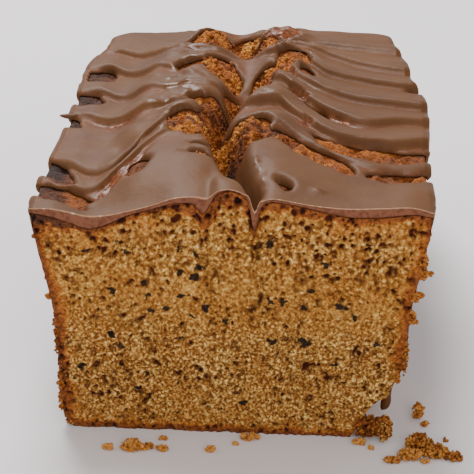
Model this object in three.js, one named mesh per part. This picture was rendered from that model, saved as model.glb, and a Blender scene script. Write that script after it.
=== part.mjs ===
// Chocolate loaf cake, cut across at the front, with chocolate icing drizzled over its cracked top.
// Two closed meshes: the sponge, and the icing that lies on it with a hair's gap.
// Millimetres, +Z up. The front is the cut, at -Y. The origin is the middle of the base.
import * as THREE from 'three';

// ---- driving dimensions -------------------------------------------------------------------
const LENGTH = 200; // cut face to far end
const CUT_SKEW = Math.tan(THREE.MathUtils.degToRad(2.2)); // the knife ran a little off square
const CORNER_RADIUS = 6; // of the upright back corners at the rim
const LEAST_CORNER = 3.5; // and lower down, where the walls draw in
const CORNER_PULL = 30; // the back end draws in with the walls over this distance
const GAP = 0.3; // hair's gap between sponge and icing
const LIP_OUT = 1.5; // how far the icing swells over the rim
const LIP_DROP = 2.6; // how far it hangs down the wall
const MIN_LIP = 0.5; // the lip is at least this thick
const LIP_AT_CUT = 0.4; // the share of the lip that is left where the cut runs through it
const LIP_REACH = 8; // the lip is whole beyond this distance from the cut
const FILM = 0.9; // icing in a valley between two bands
const BAND_RISE = 3; // how much thicker it is at a band's front
const BAND_FRONT = 3.4; // a band rises over this distance behind the valley in front of it
const BAND_FALL = 0.84; // and loses this share of its rise towards the valley behind it
const FALL_POWER = 1.3; // above 1 it loses most of it late
const RIM_THINNING = 0.7; // it thins by this share at the left rim
const RIM_REACH = 8; // and is whole this far in from there
const CRACK_THINNING = 0.6; // a band loses this share of its rise where it ran off the crack's edges
const CRACK_THINNING_WIDTH = 7;
const CRACK_FILL = 5.4; // icing that ran into the crack at the cut
const CRACK_FILL_WIDTH = 1.5;
const CRACK_FILL_REACH = 7;
const POCKET = { x: -7.4, halfWidth: 1.7, depth: 2.8, reach: 7 }; // and into a pocket beside it
const CUT_REACH = 14; // the icing takes its usual thickness over this distance from the cut
const EDGE_ROUNDING = 2.2; // its edge round a bare patch curves down over this distance
const EDGE_THICKNESS = 0.9; // icing where it ends round a bare patch

// Stations across and along the top. The middle columns lie close together and follow the crack.
const COLUMN_CELLS = [9, 11, 8]; // left of the crack's strip, in it, right of it
const STRIP_HALF = 14;
const ROW_STEP = 4.8;
const CORNER_ROWS = 4;

// Plan outline of the rim: distance of each long side from the middle line, against Y.
const LEFT_SIDE = [[0, 57.6], [30, 58.2], [65, 57.6], [120, 59], [145, 60], [168, 58.6], [178, 55.8],
  [200, 55]];
const RIGHT_SIDE = [[0, 58.2], [30, 59.2], [60, 61], [90, 63.2], [116, 63.2], [128, 60.8], [150, 60.4],
  [168, 59.2], [180, 57.4], [200, 56.4]];
// How far the tin's slope brings the wall in, against height.
const WALL_INSET = [[0, 9.4], [2.5, 7.4], [8, 6.4], [26, 5.8], [42, 5], [52, 3.3], [62, 1], [71, 0]];
const WALL_HEIGHTS = [0, 2.5, 8, 14, 23, 42, 52, 62];

// Height of the crust across the loaf, against X, without the crack: at the cut, midway, and at the back.
const DOME_FRONT = [[-60, 70.4], [-52, 69], [-46, 67.1], [-41, 65.5], [-35, 67.2], [-30, 69.7],
  [-22, 72.3], [-16, 74.1], [-12, 74.4], [-9, 74.2], [-7.2, 73.9], [-5.8, 74.2], [-4.6, 75.6],
  [-3.4, 77.2], [-1.6, 78.2], [0.6, 78.5], [3.2, 77.8], [5, 76.6], [7.5, 74.6], [9.4, 74.2], [11, 75],
  [13, 75.4], [19, 74.6], [27, 72.9], [35, 71.4], [45, 71.7], [53, 72.7], [60, 71.6], [66, 71]];
const DOME_MIDDLE = [[-62, 70.6], [-50, 69.2], [-42, 69.6], [-35, 72.6], [-28, 75.2], [-18, 76.8],
  [-5, 77.2], [8, 77.6], [16, 77], [24, 75], [34, 72.8], [46, 71.4], [58, 71], [66, 70.4]];
const DOME_BACK = [[-60, 70.2], [-30, 71], [-15, 72.2], [0, 71.4], [14, 72.6], [30, 71.6], [60, 70.4]];
const FRONT_ENDS = [1, 36]; // the front profile gives way to the middle one between these Y
const BACK_STARTS = [156, 186]; // and the middle one to the back one between these
// Icing on the cut, against X: thin over the crests and thick in the dips.
const CUT_THICKNESS = [[-60, 0.9], [-56, 1.6], [-51, 2.7], [-46, 3.5], [-41, 4.1], [-35, 2.8],
  [-30, 1.4], [-22, 1.1], [-16, 1.6], [-12, 1.9], [-9, 2.2], [-7.2, 2.3], [-5.8, 1.9], [-4.6, 1.4],
  [-3.4, 0.8], [-1.6, 0.5], [0.6, 0.4], [3.2, 0.45], [5, 0.6], [7.5, 0.8], [13, 1], [20, 0.9],
  [27, 1.5], [35, 2.6], [45, 2.8], [55, 1.9], [62, 1.2]];

// The crack that the cake tore open as it rose: its line, depth and half width, against Y.
const CRACK_LINE = [[0, 7.6], [5, 7], [10, 5.4], [16, 3.2], [22, 1.4], [32, -0.8], [45, -2], [56, -5],
  [68, -7.4], [80, -5.6], [87, -3], [96, -1.4], [106, -0.3], [125, 1.6], [150, 0], [170, 0.5],
  [185, -3], [200, -4]];
const CRACK_DEPTH = [[0, 8.5], [6, 9], [14, 11], [26, 14], [38, 17], [46, 18], [54, 13], [62, 10],
  [70, 12], [92, 12], [106, 14], [120, 11], [132, 8], [140, 5], [147, 3.5], [154, 5], [165, 8],
  [175, 8], [186, 4], [200, 1]];
const CRACK_HALF_WIDTH = [[0, 1.2], [10, 2.4], [20, 3.2], [38, 3.8], [55, 4], [80, 4.4], [106, 5],
  [125, 8], [150, 8], [170, 7], [200, 6]];
const CRACK_SHARPNESS = 2.2;
const LUMP_SHARPNESS = 2.6;

// Swellings of the crumb: x, y, half widths in x and y, height, turn in degrees.
const LUMPS = [[-16, 64, 8, 9, 3.4, 0], [-18, 79, 6, 6, 2.4, 0], [-16, 101, 7, 5, 2, 0],
  [-16, 121, 6, 7, 3, 0], [-12, 138, 8, 7, 2, 0], [-15, 186, 7.5, 7, 5, 0], [14, 188, 9, 6, 4.2, 0],
  [4, 54, 7, 8, 3.6, 0], [13, 64, 9, 7, 2.4, 0], [12, 88, 8, 7, 2.4, 0], [14, 108, 7, 8, 2, 0],
  [20, 132, 7, 10, 2.2, 0], [21, 150, 7, 8, 2, 0], [-34, 62, 4, 8, 1.4, 0], [-32, 84, 4, 7, 1.6, 0],
  [-33, 106, 4, 7, 1.4, 0], [-32, 130, 4, 8, 1.4, 0], [-27, 150, 6, 8, 1.8, 0],
  [-36, 48, 4, 6, -1.6, 0], [28, 165, 5, 6, 1, 0], [13.5, 167, 3.5, 3, -4, 0],
  [-0.6, 16, 4.6, 9, -2.6, 12]];

// The drizzled bands on each side of the crack. The valleys between them are given by their Y at each of
// the stations across, from the edge to the crest. The rises say how high each band is for its kind.
const BANDS = {
  left: {
    stations: [-60, -52, -44, -36, -30, -24, -12],
    valleys: [[25, 24, 20, 28, 39, 51, 60], [46, 40, 32, 35, 50, 63, 72], [92, 88, 83, 82, 82, 84, 88],
      [118, 118, 110, 108, 106, 104, 102], [149, 149, 140, 134, 132, 128, 124],
      [172, 172, 166, 160, 158, 155, 152]],
    rises: [1, 0.7, 0.75, 0.9, 0.85, 0.9, 0.8] },
  right: {
    stations: [62, 54, 42, 30, 21, 14],
    valleys: [[36, 35, 35, 44, 51, 58], [59, 56, 56, 60, 69, 80], [80, 80, 76, 84, 95, 104],
      [97, 99, 102, 107, 114, 122], [121, 123, 127, 131, 140, 148], [141, 143, 149, 157, 162, 166],
      [168, 170, 174, 177, 178, 180]],
    rises: [1, 0.55, 1.15, 1.15, 1.2, 1.2, 1.1, 0.9] } };
// The rows of points that run along the valleys: their Y where a row is straight.
const VALLEY_ROWS = [34, 54, 84, 107, 132, 158, 178];
const FIRST_BAND_START = -14;
const LAST_BAND_END = 215;

// Bare patches where the crust or crumb shows through: x, y, half widths in x and y, turn in degrees.
const BARE_PATCHES = [[-28, 29, 2.8, 5, -14], [-9, 43, 4, 1.8, -20], [-15.5, 64, 8, 11, 0],
  [-8, 85, 6, 10, 0], [-9.5, 71, 6, 10, 0], [-15, 90, 4, 4, 0], [4, 53, 7.5, 10, 0],
  [-3.6, 47, 3.4, 8, 0], [-6, 57, 5, 7, 0], [-1, 108, 4.5, 10, 0], [-8, 131, 7, 12, 0],
  [-18, 131, 6, 8, 0], [6, 108, 5, 11, -12], [10, 128, 7.5, 11, -12], [18, 144, 6.5, 12, -12],
  [24, 126, 3.4, 5, 0], [-13, 174, 11, 17, 0], [0, 173, 6, 11, 0], [0, 189, 6, 7, 0],
  [12, 168, 6, 5, 0], [8, 179, 4, 6, 0]];

// Bare strips just in front of a band: side, which valley it lies along, X at either end, width.
const BARE_STRIPS = [['left', 0, -59.5, -42, 13], ['left', 1, -62, -49, 15], ['left', 2, -61, -53, 12],
  ['left', 3, -60, -50, 15], ['left', 4, -60, -49, 18], ['right', 0, 40, 62, 12],
  ['right', 0, 11, 36, 14], ['right', 1, 24, 64, 15], ['right', 2, 18, 32, 6], ['right', 4, 60, 65, 5]];
const STRIP_SQUARENESS = 2.6;

// The lower right corner of the cut has broken away: how far in, against height, and how far back.
const CHIP = [[0, 12], [4, 12.4], [7, 11.3], [9, 10.2], [12.3, 7.4], [14, 4.8], [16, 4], [18.3, 3],
  [20, 2], [23, 0.7], [26, 0]];
const CHIP_ENDS = [20, 42]; // it is that deep up to the first of these Y and gone at the second

// ---- small functions ----------------------------------------------------------------------
const clamp01 = (t) => Math.min(1, Math.max(0, t));

// Smooth curve through [position, value] points.
function through(points, at) {
  const last = points.length - 1;
  const x = Math.min(points[last][0], Math.max(points[0][0], at));
  let k = 0;
  while (k < last - 1 && x >= points[k + 1][0]) k += 1;
  const slope = (i) => {
    const before = points[Math.max(i - 1, 0)];
    const after = points[Math.min(i + 1, last)];
    return (after[1] - before[1]) / (after[0] - before[0]);
  };
  const [x0, v0] = points[k];
  const [x1, v1] = points[k + 1];
  const h = x1 - x0;
  const t = (x - x0) / h;
  const t2 = t * t;
  const t3 = t2 * t;
  return (2 * t3 - 3 * t2 + 1) * v0 + (t3 - 2 * t2 + t) * h * slope(k)
    + (3 * t2 - 2 * t3) * v1 + (t3 - t2) * h * slope(k + 1);
}

// 0 in the middle of an oval and 1 on its edge.
function ovalReach(x, y, cx, cy, rx, ry, turn) {
  const a = THREE.MathUtils.degToRad(turn);
  const u = ((x - cx) * Math.cos(a) + (y - cy) * Math.sin(a)) / rx;
  const v = ((y - cy) * Math.cos(a) - (x - cx) * Math.sin(a)) / ry;
  return Math.hypot(u, v);
}

// ---- the crust's height -------------------------------------------------------------------
function pocket(x, y) {
  const across = Math.exp(-(((x - POCKET.x) / POCKET.halfWidth) ** 2));
  return POCKET.depth * across * (1 - THREE.MathUtils.smoothstep(y, 0, POCKET.reach));
}

function crustHeight(x, y) {
  const middle = THREE.MathUtils.smoothstep(y, ...FRONT_ENDS);
  const back = THREE.MathUtils.smoothstep(y, ...BACK_STARTS);
  let z = THREE.MathUtils.lerp(through(DOME_FRONT, x), through(DOME_MIDDLE, x), middle);
  z = THREE.MathUtils.lerp(z, through(DOME_BACK, x), back);
  for (const [cx, cy, rx, ry, height, turn] of LUMPS) {
    z += height * Math.exp(-(ovalReach(x, y, cx, cy, rx, ry, turn) ** LUMP_SHARPNESS));
  }
  const across = Math.abs(x - through(CRACK_LINE, y)) / through(CRACK_HALF_WIDTH, y);
  z -= pocket(x, y);
  return z - through(CRACK_DEPTH, y) * Math.exp(-(across ** CRACK_SHARPNESS));
}

// ---- the icing's bands, bare places and thickness -------------------------------------------
// Y of the valley at the back of a band, against X.
function valleyLine(x, side, number) {
  const { stations, valleys } = BANDS[side];
  const way = Math.sign(stations[0]);
  const line = stations.map((station, k) => [way * station, valleys[number][k]]).reverse();
  return through(line, way * x);
}

// Near 0 in the valley before a band and about 1 at its front, falling off towards the valley behind.
function bandRise(x, y, side) {
  const { valleys, rises } = BANDS[side];
  let low = FIRST_BAND_START;
  let high = valleyLine(x, side, 0);
  let number = 0;
  while (number < valleys.length && y >= high) {
    number += 1;
    low = high;
    high = number < valleys.length ? valleyLine(x, side, number) : LAST_BAND_END;
  }
  const start = (1 - BAND_FALL) * rises[Math.max(0, number - 1)];
  const front = 1 - clamp01(1 - (y - low) / BAND_FRONT) ** 2;
  const fall = rises[number] * (1 - BAND_FALL * clamp01((y - low) / (high - low)) ** FALL_POWER);
  return THREE.MathUtils.lerp(start, fall, front);
}

// Above 0 where there is icing: about how many millimetres it is to the nearest bare place.
function iced(x, y) {
  let nearest = Infinity;
  for (const [cx, cy, rx, ry, turn] of BARE_PATCHES) {
    nearest = Math.min(nearest, (ovalReach(x, y, cx, cy, rx, ry, turn) - 1) * Math.min(rx, ry));
  }
  for (const [side, number, start, end, width] of BARE_STRIPS) {
    const along = Math.abs((2 * x - start - end) / (end - start));
    const across = Math.abs((2 * (y - valleyLine(x, side, number) + width / 2)) / width);
    const reach = (along ** STRIP_SQUARENESS + across ** STRIP_SQUARENESS) ** (1 / STRIP_SQUARENESS);
    nearest = Math.min(nearest, ((reach - 1) * width) / 2);
  }
  return nearest;
}

function icingThickness(x, y) {
  const fromCrack = x - through(CRACK_LINE, y);
  const right = THREE.MathUtils.smoothstep(fromCrack, -6, 6);
  const rise = THREE.MathUtils.lerp(bandRise(x, y, 'left'), bandRise(x, y, 'right'), right);
  const atCrack = CRACK_THINNING * Math.exp(-((fromCrack / CRACK_THINNING_WIDTH) ** 2));
  const atRim = RIM_THINNING * (1 - THREE.MathUtils.smoothstep(x + through(LEFT_SIDE, y), 0, RIM_REACH));
  const banded = FILM + BAND_RISE * rise * (1 - atCrack) * (1 - atRim);
  const behindCut = THREE.MathUtils.smoothstep(y, 0, CUT_REACH);
  const fill = CRACK_FILL * Math.exp(-((fromCrack / CRACK_FILL_WIDTH) ** 2))
    * (1 - THREE.MathUtils.smoothstep(y, 0, CRACK_FILL_REACH));
  const full = fill + pocket(x, y) + THREE.MathUtils.lerp(through(CUT_THICKNESS, x), banded, behindCut);
  const rounding = Math.sqrt(1 - (1 - clamp01(iced(x, y) / EDGE_ROUNDING)) ** 2);
  return THREE.MathUtils.lerp(EDGE_THICKNESS, Math.max(EDGE_THICKNESS, full), rounding);
}

// ---- stations over the top ----------------------------------------------------------------
// Each column's place: 0 is the left wall, 1 and 2 the crack's strip, 3 the right wall.
function columnPlaces() {
  const places = [0];
  COLUMN_CELLS.forEach((cells, zone) => {
    for (let k = 1; k <= cells; k += 1) places.push(zone + k / cells);
  });
  return places;
}

// Rows along the loaf: one on each valley, one on the crest of the band behind it, the rest even.
function rowPlaces() {
  const straight = LENGTH - CORNER_RADIUS;
  const marks = [0, ...VALLEY_ROWS, straight];
  const places = [0];
  for (let m = 0; m < marks.length - 1; m += 1) {
    const start = m > 0 ? marks[m] + BAND_FRONT : 0;
    if (m > 0) places.push(start);
    const cells = Math.max(1, Math.round((marks[m + 1] - start) / ROW_STEP));
    for (let k = 1; k <= cells; k += 1) places.push(THREE.MathUtils.lerp(start, marks[m + 1], k / cells));
  }
  for (let k = 1; k <= CORNER_ROWS; k += 1) {
    places.push(straight + CORNER_RADIUS * Math.sin((Math.PI / 2) * (k / CORNER_ROWS)));
  }
  return places;
}

const columns = columnPlaces();
const rows = rowPlaces();
const NX = columns.length;
const NY = rows.length;

// Y of a straight row once it bends with the valleys on one side of the crack.
function bendAlong(x, row, side) {
  const straight = LENGTH - CORNER_RADIUS;
  const { valleys } = BANDS[side];
  const marks = [0, ...VALLEY_ROWS.slice(0, valleys.length), straight];
  let m = 0;
  while (m < valleys.length && row >= marks[m + 1]) m += 1;
  if (row >= straight) return row;
  const low = m > 0 ? valleyLine(x, side, m - 1) : 0;
  const high = m < valleys.length ? valleyLine(x, side, m) : straight;
  return THREE.MathUtils.lerp(low, high, (row - marks[m]) / (marks[m + 1] - marks[m]));
}

// X of a column on the line across the loaf at y.
function planX(place, y, inset, chip) {
  const left = inset - through(LEFT_SIDE, y);
  const right = through(RIGHT_SIDE, y) - inset - chip * (1 - THREE.MathUtils.smoothstep(y, ...CHIP_ENDS));
  const crack = through(CRACK_LINE, y);
  const marks = [left, crack - STRIP_HALF, crack + STRIP_HALF, right];
  const zone = Math.min(2, Math.floor(place));
  return THREE.MathUtils.lerp(marks[zone], marks[zone + 1], place - zone);
}

// Y of a column's point on a row. Each pass corrects it for the X that the last one gave.
function bentRow(place, row) {
  let y = row;
  for (let pass = 0; pass < 3; pass += 1) {
    const x = planX(place, y, 0, 0);
    const right = THREE.MathUtils.smoothstep(x - through(CRACK_LINE, y), -STRIP_HALF, STRIP_HALF);
    y = THREE.MathUtils.lerp(bendAlong(x, row, 'left'), bendAlong(x, row, 'right'), right);
  }
  return y;
}

const bent = rows.map((row) => columns.map((place) => bentRow(place, row)));

// The point of row j, column i, drawn in by an inset from the walls. The front stays on the cut.
function planPoint(i, j, inset, chip) {
  const straight = LENGTH - CORNER_RADIUS;
  const into = Math.max(0, rows[j] - straight);
  const radius = Math.max(LEAST_CORNER, CORNER_RADIUS - inset);
  const pull = inset + radius - CORNER_RADIUS;
  const angle = Math.asin(clamp01(into / CORNER_RADIUS));
  const side = into > 0 ? inset + radius * (1 - Math.cos(angle)) : inset;
  const alongRow = bent[j][i];
  const x = planX(columns[i], alongRow, side, chip);
  const y = into > 0 ? straight - pull + radius * Math.sin(angle)
    : alongRow - pull * clamp01(1 - (straight - alongRow) / CORNER_PULL);
  return [x, y - CUT_SKEW * x * clamp01(1 - y / (LENGTH / 2))];
}

// Grid indices of the rim: up the left side, along the back, down the right side.
function rimWalk() {
  const walk = [];
  for (let j = 0; j < NY; j += 1) walk.push([0, j]);
  for (let i = 1; i < NX; i += 1) walk.push([i, NY - 1]);
  for (let j = NY - 2; j >= 0; j -= 1) walk.push([NX - 1, j]);
  return walk;
}

const rim = rimWalk();
const frontWalk = Array.from({ length: NX - 2 }, (_, k) => [NX - 2 - k, 0]);
const loop = [...rim, ...frontWalk];

function meshFrom(name, points, faces, material) {
  const geometry = new THREE.BufferGeometry();
  geometry.setAttribute('position', new THREE.Float32BufferAttribute(points.flat(), 3));
  geometry.setIndex(faces.flat());
  geometry.computeVertexNormals();
  const mesh = new THREE.Mesh(geometry, material);
  mesh.name = name;
  return mesh;
}

// The two triangles of each grid cell, wound to face up.
function topFaces(index) {
  const faces = [];
  for (let j = 0; j < NY - 1; j += 1) {
    for (let i = 0; i < NX - 1; i += 1) {
      const [a, b, c, d] = [index(i, j), index(i + 1, j), index(i + 1, j + 1), index(i, j + 1)];
      faces.push([a, b, c], [a, c, d]);
    }
  }
  return faces;
}

// ---- sponge: top, walls and base ----------------------------------------------------------
function makeSponge(material) {
  const points = [];
  const index = (i, j) => j * NX + i;
  for (let j = 0; j < NY; j += 1) {
    for (let i = 0; i < NX; i += 1) {
      const [x, y] = planPoint(i, j, 0, 0);
      points.push([x, y, crustHeight(x, y)]);
    }
  }
  const faces = topFaces(index);
  let above = loop.map(([i, j]) => index(i, j));
  for (const height of [...WALL_HEIGHTS].reverse()) {
    const chip = through(CHIP, height);
    const ring = loop.map(([i, j]) => {
      points.push([...planPoint(i, j, through(WALL_INSET, height), chip), height]);
      return points.length - 1;
    });
    ring.forEach((point, k) => {
      const next = (k + 1) % ring.length;
      faces.push([above[k], above[next], ring[next]], [above[k], ring[next], point]);
    });
    above = ring;
  }
  const centre = points.push([0, LENGTH / 2, 0]) - 1;
  above.forEach((point, k) => faces.push([point, above[(k + 1) % above.length], centre]));
  return meshFrom('sponge', points, faces, material);
}

// ---- icing: a sheet with an upper and a lower point at each station -------------------------
// A station holds its upper point, its lower point and how far it is inside the icing.
function icingStations() {
  const stations = [];
  for (let j = 0; j < NY; j += 1) {
    for (let i = 0; i < NX; i += 1) {
      const [x, y] = planPoint(i, j, 0, 0);
      const low = crustHeight(x, y) + GAP;
      stations.push({ upper: [x, y, low + icingThickness(x, y)], lower: [x, y, low], inside: iced(x, y) });
    }
  }
  return stations;
}

// The lip that swells over the rim: two more stations outside each one on the rim.
function addLip(stations, faces) {
  const index = (i, j) => j * NX + i;
  const outward = ([i, j]) => {
    const [x, y] = planPoint(i, j, 0, 0);
    const [xi, yi] = planPoint(i, j, 1, 0);
    const onSide = i === 0 || i === NX - 1;
    const n = onSide || j === NY - 1 ? [x - xi, y - yi] : [0, 0];
    const size = Math.hypot(...n);
    return [n[0] / size, n[1] / size];
  };
  let inner = rim.map(([i, j]) => index(i, j));
  const steps = [
    { out: LIP_OUT * 0.85, down: -0.1, lowOut: GAP + 0.15, lowDown: 1.2 },
    { out: LIP_OUT, down: LIP_DROP, lowOut: GAP + 0.35, lowDown: LIP_DROP + 0.3 }];
  for (const step of steps) {
    const ring = rim.map((place) => {
      const base = stations[index(...place)];
      const [nx, ny] = outward(place);
      const [x, y, z] = base.lower;
      const whole = THREE.MathUtils.smoothstep(y, 0, LIP_REACH);
      const share = THREE.MathUtils.lerp(LIP_AT_CUT, 1, whole);
      const out = Math.max(step.lowOut + MIN_LIP, step.out * share);
      stations.push({
        upper: [x + nx * out, y + ny * out, z - step.down * share],
        lower: [x + nx * step.lowOut, y + ny * step.lowOut, z - step.lowDown * share],
        inside: base.inside });
      return stations.length - 1;
    });
    for (let k = 0; k < ring.length - 1; k += 1) {
      faces.push([inner[k], inner[k + 1], ring[k + 1]], [inner[k], ring[k + 1], ring[k]]);
    }
    inner = ring;
  }
}

// Trims the sheet where it is bare: a triangle keeps the part whose stations are inside.
function trim(stations, faces) {
  const cuts = new Map();
  const mix = (a, b, t) => a.map((value, k) => THREE.MathUtils.lerp(value, b[k], t));
  const crossing = (a, b) => {
    const key = a < b ? `${a} ${b}` : `${b} ${a}`;
    if (!cuts.has(key)) {
      const [p, q] = a < b ? [stations[a], stations[b]] : [stations[b], stations[a]];
      const t = Math.min(0.85, Math.max(0.15, p.inside / (p.inside - q.inside)));
      const lower = mix(p.lower, q.lower, t);
      const rise = mix(p.upper, q.upper, t).map((value, k) => value - lower[k]);
      const size = Math.hypot(...rise);
      const upper = lower.map((value, k) => value + (rise[k] * EDGE_THICKNESS) / size);
      stations.push({ upper, lower, inside: 0 });
      cuts.set(key, stations.length - 1);
    }
    return cuts.get(key);
  };
  const kept = [];
  for (const face of faces) {
    const piece = [];
    face.forEach((a, k) => {
      const b = face[(k + 1) % 3];
      const aIn = stations[a].inside > 0;
      if (aIn) piece.push(a);
      if (aIn !== stations[b].inside > 0) piece.push(crossing(a, b));
    });
    if (piece.length >= 3) kept.push(piece.slice(0, 3));
    if (piece.length === 4) kept.push([piece[0], piece[2], piece[3]]);
  }
  return kept;
}

// The triangles that hang together with the largest number of others.
function largestPatch(faces) {
  const parent = new Map();
  const root = (a) => {
    let top = a;
    while (parent.get(top) !== undefined && parent.get(top) !== top) top = parent.get(top);
    return top;
  };
  for (const [a, b, c] of faces) {
    const top = root(a);
    parent.set(top, top);
    for (const other of [b, c]) parent.set(root(other), top);
  }
  const counts = new Map();
  for (const face of faces) counts.set(root(face[0]), (counts.get(root(face[0])) ?? 0) + 1);
  const most = Math.max(...counts.values());
  return faces.filter((face) => counts.get(root(face[0])) === most);
}

function makeIcing(material) {
  const stations = icingStations();
  const sheet = topFaces((i, j) => j * NX + i);
  addLip(stations, sheet);
  const kept = largestPatch(trim(stations, sheet));
  const used = [...new Set(kept.flat())];
  const place = new Map(used.map((station, k) => [station, k]));
  const points = [...used.map((s) => stations[s].upper), ...used.map((s) => stations[s].lower)];
  const upper = (station) => place.get(station);
  const lower = (station) => place.get(station) + used.length;
  const faces = [];
  const edges = new Map();
  for (const [a, b, c] of kept) {
    faces.push([upper(a), upper(b), upper(c)], [lower(a), lower(c), lower(b)]);
    for (const [p, q] of [[a, b], [b, c], [c, a]]) edges.set(`${p} ${q}`, [p, q]);
  }
  for (const [p, q] of edges.values()) {
    if (!edges.has(`${q} ${p}`)) {
      faces.push([upper(p), lower(p), lower(q)], [upper(p), lower(q), upper(q)]);
    }
  }
  return meshFrom('chocolate_icing', points, faces, material);
}

// ---- the object ---------------------------------------------------------------------------
const spongeMaterial = new THREE.MeshStandardMaterial({ color: 0xa87840, roughness: 0.9, metalness: 0 });
const icingMaterial = new THREE.MeshStandardMaterial({ color: 0x7d5a48, roughness: 0.35, metalness: 0 });

const loaf = new THREE.Group();
loaf.add(makeSponge(spongeMaterial), makeIcing(icingMaterial));

// Bring the middle of the base to the origin.
const box = new THREE.Box3().setFromObject(loaf);
const middle = box.getCenter(new THREE.Vector3());
loaf.position.set(-middle.x, -middle.y, -box.min.z);

export default loaf;
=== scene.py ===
import math

import bmesh
import bpy
import numpy as np
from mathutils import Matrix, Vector


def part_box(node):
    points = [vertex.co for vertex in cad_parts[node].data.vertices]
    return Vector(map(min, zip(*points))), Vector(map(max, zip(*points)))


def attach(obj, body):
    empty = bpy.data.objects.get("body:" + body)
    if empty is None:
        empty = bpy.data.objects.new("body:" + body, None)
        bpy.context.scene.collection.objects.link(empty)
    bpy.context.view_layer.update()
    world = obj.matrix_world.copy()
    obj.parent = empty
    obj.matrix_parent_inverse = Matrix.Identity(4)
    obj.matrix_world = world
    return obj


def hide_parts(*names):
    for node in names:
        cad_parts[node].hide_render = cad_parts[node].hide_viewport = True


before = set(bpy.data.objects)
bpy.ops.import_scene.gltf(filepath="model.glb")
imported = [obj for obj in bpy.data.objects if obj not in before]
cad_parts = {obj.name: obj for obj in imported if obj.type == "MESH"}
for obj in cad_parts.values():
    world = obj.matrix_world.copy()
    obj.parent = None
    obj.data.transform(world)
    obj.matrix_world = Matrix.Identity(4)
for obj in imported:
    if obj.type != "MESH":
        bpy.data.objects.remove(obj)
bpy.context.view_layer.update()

# ---- sizes of the loaf, mm. The cut is at Y 0 and the base at Z 0 until move_to_frame()
MM = 0.001
LENGTH = 200.0
CUT_SKEW = math.tan(math.radians(2.2))  # the knife ran a little off square
CORNER_RADIUS = 6.0  # of the upright back corners at the rim
LEAST_CORNER = 3.5  # and lower down, where the walls draw in
CORNER_PULL = 30  # the back end draws in with the walls over this distance
STRAIGHT = LENGTH - CORNER_RADIUS  # the rows are straight or bent up to here
GAP = 0.3  # between sponge and icing
STRIP_HALF = 14.0  # half width of the strip of close columns along the crack
FILM = 0.9  # icing in a valley between two bands
BAND_RISE = 3.0  # how much thicker it is at a band's front
BAND_FRONT = 3.4  # a band rises over this distance behind the valley in front of it
BAND_FALL = 0.84  # and loses this share of its rise towards the valley behind it
BAND_BEND = 1.3  # of that fall: above 1 it is slow at first
RIM_THINNING = 0.7  # it thins by this share at the left rim
RIM_REACH = 8  # and is whole this far in from there
CRACK_THINNING, CRACK_THIN_HALF = 0.6, 7  # and by this share on the crack: share, half width

# Plan outline of the rim: distance of each long side from the middle line, against Y.
LEFT_SIDE = [[0, 57.6], [30, 58.2], [65, 57.6], [120, 59], [145, 60], [168, 58.6], [178, 55.8], [200, 55]]
RIGHT_SIDE = [[0, 58.2], [30, 59.2], [60, 61], [90, 63.2], [116, 63.2], [128, 60.8], [150, 60.4],
              [168, 59.2], [180, 57.4], [200, 56.4]]
# How far the tin's slope brings the wall in, against height.
WALL_INSET = [[0, 9.4], [2.5, 7.4], [8, 6.4], [26, 5.8], [42, 5], [52, 3.3], [62, 1], [71, 0]]

# Height of the crust across the loaf, against X: at the cut, midway, and at the back.
DOME_FRONT = [[-60, 70.4], [-52, 69], [-46, 67.1], [-41, 65.5], [-35, 67.2], [-30, 69.7], [-22, 72.3],
              [-16, 74.1], [-12, 74.4], [-9, 74.2], [-7.2, 73.9], [-5.8, 74.2], [-4.6, 75.6], [-3.4, 77.2],
              [-1.6, 78.2], [0.6, 78.5], [3.2, 77.8], [5, 76.6], [7.5, 74.6], [9.4, 74.2], [11, 75],
              [13, 75.4], [19, 74.6], [27, 72.9], [35, 71.4], [45, 71.7], [53, 72.7], [60, 71.6], [66, 71]]
# Icing on the cut, against X: thin over the crests and thick in the dips.
CUT_THICKNESS = [[-60, 0.9], [-56, 1.6], [-51, 2.7], [-46, 3.5], [-41, 4.1], [-35, 2.8], [-30, 1.4],
                 [-22, 1.1], [-16, 1.6], [-12, 1.9], [-9, 2.2], [-7.2, 2.3], [-5.8, 1.9], [-4.6, 1.4],
                 [-3.4, 0.8], [-1.6, 0.5], [0.6, 0.4], [3.2, 0.45], [5, 0.6], [7.5, 0.8], [13, 1], [20, 0.9],
                 [27, 1.5], [35, 2.6], [45, 2.8], [55, 1.9], [62, 1.2]]
CUT_REACH = 14  # the icing takes its usual thickness over this distance from the cut
CRACK_FILL, FILL_HALF, FILL_END = 5.4, 1.5, 7  # icing in the crack at the cut: depth, half width, reach
POCKET = (-7.4, 1.7, 2.8, 7)  # and in a pocket beside it: X, half width, depth, reach

DOME_MIDDLE = [[-62, 70.6], [-50, 69.2], [-42, 69.6], [-35, 72.6], [-28, 75.2], [-18, 76.8], [-5, 77.2],
               [8, 77.6], [16, 77], [24, 75], [34, 72.8], [46, 71.4], [58, 71], [66, 70.4]]
DOME_BACK = [[-60, 70.2], [-30, 71], [-15, 72.2], [0, 71.4], [14, 72.6], [30, 71.6], [60, 70.4]]
FRONT_ENDS = (1, 36)  # over these stretches of Y one height gives way to the next
BACK_STARTS = (156, 186)

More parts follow.
